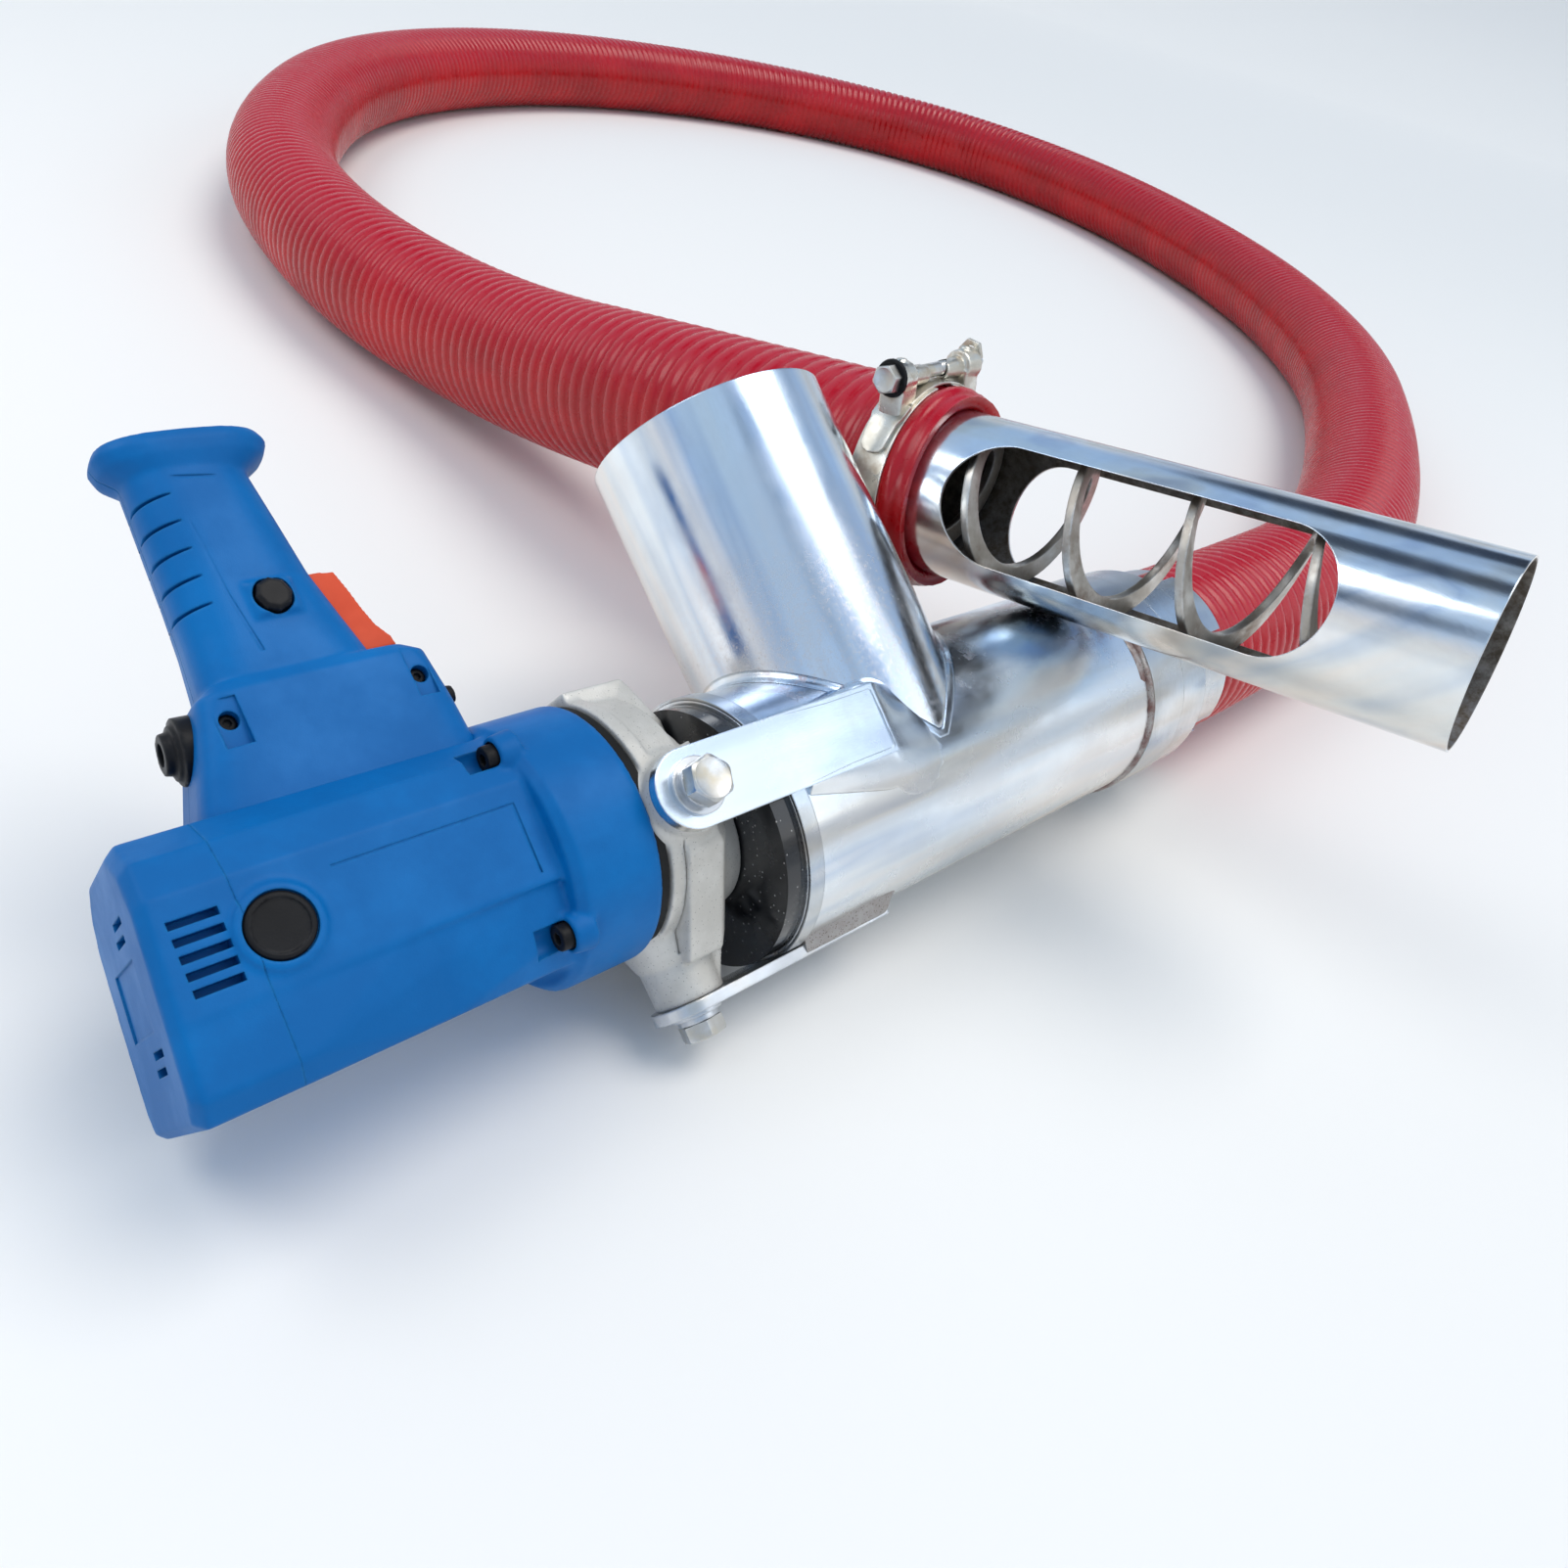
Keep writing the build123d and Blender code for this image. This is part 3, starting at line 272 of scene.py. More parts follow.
def along_hose(at):
    """Centre, sideways and upward directions of the hose at distances along its line."""
    at = np.clip(at, 0.0, hose_length)
    centre = np.stack([np.interp(at, hose_run, hose_centre[:, i]) for i in range(3)], 1)
    step = 0.004
    after = np.stack([np.interp(at + step, hose_run, hose_centre[:, i]) for i in range(3)], 1)
    before = np.stack([np.interp(at - step, hose_run, hose_centre[:, i]) for i in range(3)], 1)
    ahead = after - before
    ahead /= np.linalg.norm(ahead, axis=1)[:, None]
    side = np.cross(np.array([0.0, 0.0, 1.0]), ahead)
    side /= np.linalg.norm(side, axis=1)[:, None]
    return centre, side, np.cross(ahead, side)


def skin_rings(rings, closed=False):
    """Faces between rings of equal size, kept as an index grid."""
    count, sides = rings.shape[:2]
    index = np.arange(count * sides).reshape(count, sides)
    lower = index if closed else index[:-1]
    upper = np.roll(index, -1, axis=0) if closed else index[1:]
    quads = np.stack([lower, np.roll(lower, -1, 1), np.roll(upper, -1, 1), upper], -1)
    return rings.reshape(-1, 3), quads.reshape(-1, 4)


def new_piece(name, points, faces, material, place=None, sharp=40.0):
    """A smooth-shaded mesh piece, moved into the row frame by a matrix."""
    mesh = bpy.data.meshes.new(name)
    mesh.from_pydata([tuple(p) for p in points], [], [tuple(f) for f in faces])
    tidy = bmesh.new()
    tidy.from_mesh(mesh)
    bmesh.ops.recalc_face_normals(tidy, faces=tidy.faces)
    tidy.to_mesh(mesh)
    tidy.free()
    if place is not None:
        mesh.transform(place)
    mesh.shade_smooth()
    mesh.set_sharp_from_angle(angle=math.radians(sharp))
    if material:
        mesh.materials.append(material)
    return stand(name, mesh)


def new_group(name, inputs, outputs):
    """An empty node group with named sockets; returns its tree and its two end nodes."""
    group = bpy.data.node_groups.new(name, "ShaderNodeTree")
    for label, kind, value in inputs:
        socket = group.interface.new_socket(label, in_out="INPUT", socket_type=kind)
        socket.default_value = value
    for label, kind in outputs:
        group.interface.new_socket(label, in_out="OUTPUT", socket_type=kind)
    return group, group.nodes.new("NodeGroupInput"), group.nodes.new("NodeGroupOutput")


def use_group(tree, group, sockets):
    """Places a node group in a material."""
    return put(tree, "ShaderNodeGroup", sockets, node_tree=group)


def figure(tree, operation, first, second, **settings):
    """The result of a sum on two values."""
    return put(tree, "ShaderNodeMath", {0: first, 1: second}, operation=operation, **settings).outputs[0]


def drawn_out(tree, where, stretch):
    """Coordinates stretched along the way a surface was drawn or brushed."""
    return put(tree, "ShaderNodeVectorMath", {0: where, 1: stretch}, operation="MULTIPLY").outputs[0]


FLOAT, VECTOR = "NodeSocketFloat", "NodeSocketVector"

# Grime: soft cloudy patches, with a fine speck mask beside them.
grime, enter, leave = new_group(
    "grime",
    [("Vector", VECTOR, (0, 0, 0)), ("Patch Scale", FLOAT, 20.0), ("Speck Scale", FLOAT, 700.0),
     ("Speck Share", FLOAT, 0.2)],
    [("Patches", FLOAT), ("Specks", FLOAT)],
)
cloud = clouds(grime, enter.outputs["Vector"], enter.outputs["Patch Scale"], 5.0, 0.62)
spread = put(grime, "ShaderNodeMapRange", {"Value": cloud, "From Min": 0.35, "From Max": 0.68},
             interpolation_type="SMOOTHSTEP")
cells = {"Vector": enter.outputs["Vector"], "Scale": enter.outputs["Speck Scale"]}
speck = put(grime, "ShaderNodeTexVoronoi", cells).outputs["Distance"]
near = figure(grime, "SUBTRACT", enter.outputs["Speck Share"], speck)
crisp = figure(grime, "MULTIPLY", near, 12.0, use_clamp=True)
set_sockets(grime, leave, {"Patches": spread.outputs[0], "Specks": crisp})

# Worn edges: how much a surface turns within a small width, broken up by noise.
worn, enter, leave = new_group(
    "worn_edges",
    [("Width", FLOAT, 0.001), ("Vector", VECTOR, (0, 0, 0)), ("Break Scale", FLOAT, 160.0),
     ("Bareness", FLOAT, 1.0)],
    [("Mask", FLOAT), ("Soft Normal", VECTOR)],
)
soft = put(worn, "ShaderNodeBevel", {"Radius": enter.outputs["Width"]}, samples=4).outputs[0]
true_way = put(worn, "ShaderNodeNewGeometry").outputs["Normal"]
alike = put(worn, "ShaderNodeVectorMath", {0: soft, 1: true_way}, operation="DOT_PRODUCT").outputs["Value"]
turned = span(worn, alike, 0.0, 1.0, 0.995, 0.80)
patchy = clouds(worn, enter.outputs["Vector"], enter.outputs["Break Scale"], 4.0, 0.7)
rubbed = figure(worn, "MULTIPLY", turned, span(worn, patchy, 0.0, 1.0, 0.38, 0.62))
bare = figure(worn, "MULTIPLY", rubbed, enter.outputs["Bareness"], use_clamp=True)
set_sockets(worn, leave, {"Mask": bare, "Soft Normal": soft})

# Fine grain: a height for bump, drawn out along one direction when the Stretch asks.
grain, enter, leave = new_group(
    "fine_grain",
    [("Vector", VECTOR, (0, 0, 0)), ("Stretch", VECTOR, (1, 1, 1)), ("Scale", FLOAT, 800.0),
     ("Coarse Share", FLOAT, 0.3)],
    [("Height", FLOAT)],
)
drawn = drawn_out(grain, enter.outputs["Vector"], enter.outputs["Stretch"])
fine = clouds(grain, drawn, enter.outputs["Scale"], 3.0)
coarse = clouds(grain, drawn, figure(grain, "MULTIPLY", enter.outputs["Scale"], 0.2), 2.0)
mixed = put(grain, "ShaderNodeMix", {"Factor": enter.outputs["Coarse Share"], "A": fine, "B": coarse})
set_sockets(grain, leave, {"Height": mixed.outputs[0]})


def blank_material(name):
    """A material with its Principled shader and the coordinates of the machine as it lies."""
    material = bpy.data.materials.new(name)
    material.use_nodes = True
    tree = material.node_tree
    where = put(tree, "ShaderNodeTexCoord").outputs["Object"]
    return material, tree, tree.nodes["Principled BSDF"], where


def soil(tree, where, patch_scale, speck_scale, speck_share):
    """The grime group's two masks over a surface: soft patches and fine specks."""
    marks = use_group(tree, grime, {
        "Vector": where, "Patch Scale": patch_scale, "Speck Scale": speck_scale, "Speck Share": speck_share,
    })
    return marks.outputs["Patches"], marks.outputs["Specks"]


def looking_up(tree):
    """How far a surface faces up, from 1 down to -1."""
    facing = put(tree, "ShaderNodeNewGeometry").outputs["Normal"]
    return put(tree, "ShaderNodeSeparateXYZ", {"Vector": facing}).outputs["Z"]


def blend_colour(tree, share, first, second):
    """Mixes two colours by a mask."""
    first, second = (c if isinstance(c, bpy.types.NodeSocket) else (*c, 1.0) for c in (first, second))
    return put(tree, "ShaderNodeMix", {0: share, 6: first, 7: second}, data_type="RGBA").outputs[2]


def relief(tree, height, strength, depth, softened=None):
    """A fine relief of a given depth, over a softened normal where one is given."""
    sockets = {"Height": height, "Strength": strength, "Distance": depth}
    if softened:
        sockets["Normal"] = softened
    return put(tree, "ShaderNodeBump", sockets).outputs[0]


def hose_finish():
    """Deep red PVC with a painted pink sheen on its upper side, standing for reflected sky, dust in the
    grooves and scuffs.
    """
    material, tree, shader, where = blank_material("red_pvc")
    patches, specks = soil(tree, where, 9.0, 420.0, 0.12)
    small_patches = soil(tree, where, 70.0, 900.0, 0.1)[0]
    red = blend_colour(tree, patches, (0.33, 0.0015, 0.004), (0.48, 0.003, 0.007))
    # painted sheen: what faces up is tinted pink, a painted reflection of the sky on the hose's top
    painted_top_sheen = blend_colour(tree, span(tree, looking_up(tree), 0.0, 1.0, 0.1, 0.95), red, (0.46, 0.004, 0.020))
    scuffs = span(tree, small_patches, 0.0, 0.14, 0.75, 1.0)
    scuffed = blend_colour(tree, scuffs, painted_top_sheen, (0.46, 0.05, 0.075))
    rough = use_group(tree, grain, {"Vector": where, "Scale": 600.0}).outputs[0]
    set_sockets(tree, shader, {
        "Base Color": blend_colour(tree, specks, scuffed, (0.12, 0.004, 0.008)),
        "Roughness": span(tree, small_patches, 0.20, 0.38),
        "Normal": relief(tree, rough, 0.12, 0.0004),
        "Coat Weight": 0.10,
        "Coat Roughness": 0.15,
        "Specular IOR Level": 0.35,
    })
    return material


def rings_round_hose(at, size):
    """Centres, and rings of points round them, of a size at each distance along the hose."""
    centre, side, upward = along_hose(at)
    turns = np.linspace(0, 2 * math.pi, HOSE_SIDES, endpoint=False)[None, :, None]
    outward = side[:, None, :] * np.cos(turns) + upward[:, None, :] * np.sin(turns)
    return centre, centre[:, None, :] + outward * size[:, None, None]


red_pvc = hose_finish()
ring_count = int(hose_length / RIB_PITCH) * len(RIB_SHAPE)
at = np.linspace(0.0, hose_length, ring_count + 1)
drop = RIB_SHAPE[np.arange(ring_count + 1) % len(RIB_SHAPE)] * RIB_DEPTH
bulge = LIP * np.exp(-(((hose_length - 0.010) - at) / 0.006) ** 2)
radius = HOSE_RADIUS - drop + bulge
radius[at > hose_length - 0.002] -= LIP
centre, outer_rings = rings_round_hose(at, radius)
# the smooth bore runs back from the far end to the exit, so the wall has its real thickness
bore_at = np.linspace(hose_length - 0.03, 0.03, 170)
bore_at = np.concatenate([[hose_length, hose_length - 0.003], bore_at, [0.0]])
bore_size = np.full(len(bore_at), HOSE_BORE + 0.0003)
bore_size[0] = bore_size[-1] = 0.0475
bore_rings = rings_round_hose(bore_at, bore_size)[1]
hose_points, hose_faces = skin_rings(np.concatenate([outer_rings, bore_rings]), closed=True)
hose = new_piece("ribbed_hose", hose_points, hose_faces, red_pvc, sharp=80.0)
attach(hose, "base")
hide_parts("hose")

# ================================================================ steel head and spout
# Two lengths of 120 mm thin-wall tube, mitred into a tee and welded; the seam is ground
# and polished smooth, so only scuffs and a faint purple bloom are left round it.

# Painted reflection stripes: long tan, silver, pale blue and dark bands along a polished tube's
# length, painted as the tube would mirror its surroundings, over a painted sky reflection (a blue cast) on
# what looks up and a painted ground reflection (a tan one) on what looks down.
painted_reflection_streaks, enter, leave = new_group(
    "painted_reflection_streaks",
    [("Vector", VECTOR, (0, 0, 0)), ("Run", VECTOR, (1, 1, 1))],
    [("Tint", "NodeSocketColor")],
)
bands = clouds(painted_reflection_streaks, drawn_out(painted_reflection_streaks, enter.outputs["Vector"], enter.outputs["Run"]), 34.0, 2.5, 0.55)
# painted reflection: stripes of tan, silver, pale blue and dark, as polished steel mirrors its surroundings
painted_reflection_bands = colour_ramp(painted_reflection_streaks, bands, [
    (0.30, (0.34, 0.36, 0.42)),
    (0.38, (0.86, 0.76, 0.64)),
    (0.46, (1.0, 0.98, 0.95)),
    (0.55, (0.86, 0.94, 1.0)),
    (0.63, (0.52, 0.66, 0.84)),
    (0.70, (0.95, 0.97, 1.0)),
])
# painted reflection: what faces up takes a blue cast of the sky, what faces down a tan cast of the ground
painted_sky_ground_reflection = colour_ramp(painted_reflection_streaks, span(painted_reflection_streaks, looking_up(painted_reflection_streaks), 0.0, 1.0, -1.0), [
    (0.0, (0.62, 0.54, 0.44)),
    (0.30, (0.86, 0.79, 0.70)),
    (0.50, (1.0, 0.98, 0.95)),
    (0.68, (1.0, 1.0, 1.0)),
    (0.86, (0.70, 0.84, 1.0)),
    (1.0, (0.52, 0.70, 0.92)),
])
set_sockets(painted_reflection_streaks, leave, {"Tint": tinted(painted_reflection_streaks, 1.0, painted_reflection_bands, painted_sky_ground_reflection)})


def metal_finish(name, pale, dark, smooth, rough, stretch, brush, edge, dirt, patch=14.0, run=None):
    """Bare or plated metal: brushed grain, cloudy polish, bright edges and specks of dirt.

    Where a run is given, painted reflection stripes are laid over it, long where the run is small.
    """
    material, tree, shader, where = blank_material(name)
    laid = put(tree, "ShaderNodeMapping", {
        "Vector": where, "Location": spindle_start, "Rotation": (LEAN, 0.0, 0.0),
    }, vector_type="TEXTURE").outputs[0]
    patches, specks = soil(tree, laid, patch, 520.0, dirt)
    wear = use_group(tree, worn, {"Width": edge, "Vector": where})
    brushed = {"Vector": laid, "Stretch": stretch, "Scale": 260.0, "Coarse Share": 0.4}
    lines = use_group(tree, grain, brushed).outputs[0]
    metal = blend_colour(tree, patches, dark, pale)
    streaked = blend_colour(tree, span(tree, lines, 0.0, 0.35, 0.45, 0.7), metal, dark)
    dirty = blend_colour(tree, specks, streaked, (0.10, 0.085, 0.07))
    colour = blend_colour(tree, wear.outputs["Mask"], dirty, (0.86, 0.87, 0.88))
    # where a run is given, painted reflection is multiplied into the colour: stripes of reflected
    # surroundings along the run, a blue sky cast on what faces up and a tan ground cast on what faces down
    if run:
        tint = use_group(tree, painted_reflection_streaks, {"Vector": laid, "Run": run}).outputs["Tint"]
        colour = tinted(tree, 0.62, colour, tint)
    set_sockets(tree, shader, {
        "Base Color": colour,
        "Roughness": figure(tree, "MAXIMUM", span(tree, patches, rough, smooth), specks),
        "Normal": relief(tree, lines, brush, 0.0003, wear.outputs["Soft Normal"]),
        "Metallic": 1.0,
    })
    return material, tree, shader, laid, colour


def give_finish(material, *names):
    """Gives its finish to each part that is seen in its own shape."""
    for name in names:
        part_mesh = frame["nodes"][name].data
        part_mesh.materials.clear()
        part_mesh.materials.append(material)


def stain(tree, shader, colour_now, share, tint, dull):
    """Lays a stain over a metal by a mask, and dulls the metal under it."""
    tree.links.new(blend_colour(tree, share, colour_now, tint), shader.inputs["Base Color"])
    rough_now = shader.inputs["Roughness"].links[0].from_socket
    mixed = put(tree, "ShaderNodeMix", {"Factor": share, "A": rough_now, "B": dull})
    tree.links.new(mixed.outputs[0], shader.inputs["Roughness"])


def nearness(tree, laid, place, reach):
    """A mask that is 1 at a point of the machine and fades out over a reach, metres."""
    away = put(tree, "ShaderNodeVectorMath", {0: laid, 1: place}, operation="DISTANCE")
    return span(tree, away.outputs["Value"], 1.0, 0.0, reach * 0.35, reach)


head_steel, tree, shader, laid, colour_now = metal_finish(
    "polished_tube", (0.95, 0.97, 0.99), (0.86, 0.86, 0.87), 0.17, 0.32, (1.0, 9.0, 9.0), 0.10, 0.0012, 0.045,
    run=(0.10, 1.0, 1.0),
)
spotty = span(tree, clouds(tree, laid, 95.0, 6.0, 0.75), 0.0, 1.0, 0.50, 0.62)
SCORCHES = [(0.240, -0.046, 0.040), (0.128, -0.050, 0.048), (0.060, -0.044, 0.052), (0.095, -0.058, 0.095)]
scorched = nearness(tree, laid, SCORCHES[0], 0.042)
for place in SCORCHES[1:]:
    scorched = figure(tree, "MAXIMUM", scorched, nearness(tree, laid, place, 0.036))
stain(tree, shader, colour_now, figure(tree, "MULTIPLY", scorched, spotty), (0.36, 0.27, 0.28), 0.52)
give_finish(head_steel, "head_tube")

spout_steel, tree, shader, laid, colour_now = metal_finish(
    "polished_spout", (0.94, 0.96, 0.98), (0.84, 0.84, 0.85), 0.10, 0.26, (9.0, 9.0, 1.0), 0.10, 0.0009, 0.05,
    run=(1.0, 1.0, 0.07),
)
rise = put(tree, "ShaderNodeSeparateXYZ", {"Vector": laid}).outputs["Z"]
low_down = span(tree, rise, 1.0, 0.0, 0.075, 0.125)
speckled = span(tree, clouds(tree, laid, 420.0, 4.0, 0.8), 0.15, 0.6, 0.48, 0.66)
stain(tree, shader, colour_now, figure(tree, "MULTIPLY", low_down, speckled), (0.76, 0.69, 0.66), 0.36)
give_finish(spout_steel, "spout_tube")

HEAD_RADIUS = 60.0
SPOUT_X = 96.0
SPOUT_TILT = math.radians(2.0)
SEAM_LEG = 5.0
SEAM_STEPS = 144


def skin_tube(name, loops, material, closed_run, place=machine_mm, sharp=50.0):
    """A closed mesh through equal loops of points; a run that isn't closed is capped."""
    rings = np.array(loops, float)
    points, faces = skin_rings(rings, closed=closed_run)
    faces = [tuple(f) for f in faces]
    sides = rings.shape[1]
    if not closed_run:
        last = (len(rings) - 1) * sides
        faces += [tuple(range(sides))[::-1], tuple(range(last, last + sides))]
    return new_piece(name, points, faces, material, place, sharp)


def polished_seam():
    """The ground fillet where the spout meets the head."""
    up = np.array([-math.sin(SPOUT_TILT), 0.0, math.cos(SPOUT_TILT)])
    ahead = np.array([math.cos(SPOUT_TILT), 0.0, math.sin(SPOUT_TILT)])
    across = np.array([0.0, 1.0, 0.0])
    loops = []
    for i in range(SEAM_STEPS):
        angle = 2 * math.pi * (i + 0.5) / SEAM_STEPS
        out = ahead * math.cos(angle) + across * math.sin(angle)
        foot = np.array([SPOUT_X, 0.0, 0.0]) + out * HEAD_RADIUS
        height = math.sqrt(max(0.0, HEAD_RADIUS**2 - foot[1] ** 2))
        seam = foot + up * ((height - foot[2]) / up[2])
        head_normal = np.array([0.0, seam[1], seam[2]]) / HEAD_RADIUS
        slide = out - head_normal * (out @ head_normal)
        slide /= np.linalg.norm(slide)
        leg = SEAM_LEG * (0.5 + 0.5 * abs(math.cos(angle)))
        top = seam + up * leg + out * 0.12
        low = seam + slide * leg
        low[1:] *= (HEAD_RADIUS + 0.12) / math.hypot(low[1], low[2])
        inside = seam - out * 0.9 - head_normal * 0.9
        corner = seam + out * 0.12 + head_normal * 0.12
        loop = [top * (1 - t) ** 2 + corner * 2 * t * (1 - t) + low * t * t for t in np.linspace(0, 1, 7)]
        loops.append(loop + [inside])
    return skin_tube("spout_seam", loops, head_steel, True)


seam = polished_seam()
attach(seam, "base")

# ================================================================ outlet ring and hose coupling
# Turned steel rings welded to the head's end: a plain ring, a grooved coupling ring and a
# slotted sleeve that closes on the hose. The first joint is brazed and rough, and has rusted.
ring_steel, tree, shader, laid, colour_now = metal_finish(
    "turned_ring", (0.82, 0.83, 0.85), (0.60, 0.60, 0.60), 0.18, 0.34, (9.0, 1.0, 1.0), 0.22, 0.0009, 0.06,
    run=(0.3, 1.0, 1.0),
)
give_finish(ring_steel, "outlet_ring", "hose_coupling", "slotted_sleeve", "head_end_ring")


def weld_finish(name, brown):
    """A rough weld: dull steel with rust and purple heat colour, lumpy at two scales."""
    material, tree, shader, where = blank_material(name)
    patches, specks = soil(tree, where, 120.0, 900.0, 0.25)
    steel = blend_colour(tree, patches, (0.42, 0.40, 0.39), brown)
    lumps = use_group(tree, grain, {"Vector": where, "Scale": 900.0, "Coarse Share": 0.5}).outputs[0]
    set_sockets(tree, shader, {
        "Base Color": blend_colour(tree, specks, steel, (0.10, 0.055, 0.04)),
        "Roughness": span(tree, patches, 0.42, 0.75),
        "Metallic": span(tree, patches, 1.0, 0.35),
        "Normal": relief(tree, lumps, 0.6, 0.0006),
    })
    return material


rusty_weld = weld_finish("rusty_weld", (0.20, 0.10, 0.09))
grey_weld = weld_finish("grey_weld", (0.36, 0.33, 0.31))


def weld_bead(name, line, outwards, radius, ripple, material, closed_run=False):
    """A half-sunk bead along a line of points, swelling at each ripple of the torch."""
    line = np.array(line, float)
    outwards = np.array(outwards, float)
    ahead = np.roll(line, -1, 0) - np.roll(line, 1, 0)
    if not closed_run:
        ahead[0], ahead[-1] = line[1] - line[0], line[-1] - line[-2]
    ahead /= np.linalg.norm(ahead, axis=1)[:, None]
    across = np.cross(ahead, outwards)
    run = np.concatenate([[0.0], np.cumsum(np.linalg.norm(np.diff(line, axis=0), axis=1))])
    hoop = np.linspace(0, 2 * math.pi, 12, endpoint=False)
    loops = []
    for place, side_way, out, at in zip(line, across, outwards, run):
        swell = 1.0 + 0.16 * abs(math.sin(math.pi * at / ripple)) + 0.22 * noise.noise(Vector(place) * 0.35)
        spokes = [side_way * math.cos(t) * 1.25 + out * math.sin(t) * 0.62 for t in hoop]
        loops.append([place + spoke * radius * swell for spoke in spokes])
    return skin_tube(name, loops, material, closed_run)


angles = np.linspace(0, 2 * math.pi, 220, endpoint=False)
around = [(0.0, math.cos(a), math.sin(a)) for a in angles]
ring_x = (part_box("outlet_ring")[0].x - spindle_start.x) * 1000
bead = weld_bead(
    "outlet_weld", [(ring_x - 0.6, HEAD_RADIUS * y, HEAD_RADIUS * z) for _, y, z in around], around, 2.5, 3.8,
    rusty_weld, True,
)
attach(bead, "base")

# the braze has run over the head's end in one rough patch on the near side
patch_loops = []
for x in np.linspace(ring_x - 8, ring_x + 1, 10):
    run_in = math.sin(math.pi * (x - ring_x + 8.6) / 10)
    loop = []
    for t in np.linspace(0.0, 1.0, 26):
        angle = math.radians(140 + 52 * t + 3 * noise.noise(Vector((x * 0.2, 7.0, 0.0))))
        uneven = 1 + 0.9 * noise.noise(Vector((x * 0.5, t * 9, 1.0)))
        lump = 0.5 + 0.9 * run_in * math.sin(math.pi * t) * uneven
        size = HEAD_RADIUS + max(-0.5, lump - 0.5)
        loop.append((x, size * math.cos(angle), size * math.sin(angle)))
    for t in np.linspace(1.0, 0.0, 26):
        angle = math.radians(140 + 52 * t)
        loop.append((x, (HEAD_RADIUS - 1.0) * math.cos(angle), (HEAD_RADIUS - 1.0) * math.sin(angle)))
    patch_loops.append(loop)
patch = skin_tube("braze_patch", patch_loops, rusty_weld, False)
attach(patch, "base")

# ================================================================ end plate
# A round steel plate painted gloss black that shuts the head's motor end; it carries dust.
plate_paint, tree, shader, where = blank_material("gloss_black_paint")
patches, specks = soil(tree, where, 45.0, 330.0, 0.16)
dusty = blend_colour(tree, span(tree, patches, 0.0, 0.5), (0.004, 0.005, 0.008), (0.035, 0.034, 0.034))
set_sockets(tree, shader, {
    "Base Color": blend_colour(tree, specks, dusty, (0.32, 0.31, 0.30)),
    "Roughness": span(tree, patches, 0.12, 0.34),
    "Coat Weight": 0.4,
    "Coat Roughness": 0.1,
})
give_finish(plate_paint, "end_plate")

# ================================================================ blue motor casing and rear cover
# Injection-moulded nylon, satin from a spark-eroded mould. The casing and the vented rear
# cover meet in a hairline; the front flares into the flange that takes the gearcase screws.
MOTOR_Z = 20.0
COVER_SEAM = -202.0
BRUSH_X = -193
BRUSH_Z = 23


def plastic_finish(name, colour, deep, pale, rough, speckle=0.10):
    """Moulded plastic: fine eroded grain, faint flow clouds, paler rubbed edges, dust."""
    material, tree, shader, where = blank_material(name)
    patches, specks = soil(tree, where, 16.0, 600.0, speckle)
    wear = use_group(tree, worn, {"Width": 0.0013, "Vector": where, "Break Scale": 220.0, "Bareness": 0.55})
    base = blend_colour(tree, patches, deep, colour)
    rubbed = blend_colour(tree, wear.outputs["Mask"], base, pale)
    eroded = use_group(tree, grain, {"Vector": where, "Scale": 1500.0, "Coarse Share": 0.25}).outputs[0]
    set_sockets(tree, shader, {
        "Base Color": blend_colour(tree, specks, rubbed, deep),
        "Roughness": span(tree, patches, rough + 0.08, rough - 0.05),
        "Normal": relief(tree, eroded, 0.22, 0.00025, wear.outputs["Soft Normal"]),
        "Specular IOR Level": 0.16,
    })
    return material


blue_nylon = plastic_finish(
    "blue_nylon", (0.0004, 0.150, 0.450), (0.0003, 0.115, 0.365), (0.02, 0.26, 0.60), 0.42,
)


def hull(points):
    """A closed convex form round some points."""
    form = bmesh.new()
    for point in points:
        form.verts.new(point)
    made = bmesh.ops.convex_hull(form, input=form.verts)
    unused = made["geom_interior"] + made["geom_unused"]
    loose = {e for e in unused if isinstance(e, bmesh.types.BMVert)}
    bmesh.ops.delete(form, geom=list(loose), context="VERTS")
    bmesh.ops.recalc_face_normals(form, faces=form.faces)
    mesh = bpy.data.meshes.new("form")
    form.to_mesh(mesh)
    form.free()
    return mesh


def disc(centre, way, radius, count=48):
    """Points of a circle round a direction."""
    way = Vector(way).normalized()
    first = way.orthogonal().normalized()
    second = way.cross(first)
    steps = [2 * math.pi * i / count for i in range(count)]
    return [Vector(centre) + (first * math.cos(a) + second * math.sin(a)) * radius for a in steps]


def post(foot, way, length, radius, top_radius=None, count=48):
    """A round post, tapered if a second radius is given."""
    top = Vector(foot) + Vector(way).normalized() * length
    if top_radius is None:
        top_radius = radius
    return hull(disc(foot, way, radius, count) + disc(top, way, top_radius, count))


def slab(x0, x1, y0, y1, z0, z1):
    """A block between two corners."""
    return hull([(x, y, z) for x in (x0, x1) for y in (y0, y1) for z in (z0, z1)])


def settle(piece):
    """Applies a piece's modifiers."""
    seen = piece.evaluated_get(bpy.context.evaluated_depsgraph_get())
    mesh = bpy.data.meshes.new_from_object(seen)
    piece.modifiers.clear()
    piece.data = mesh


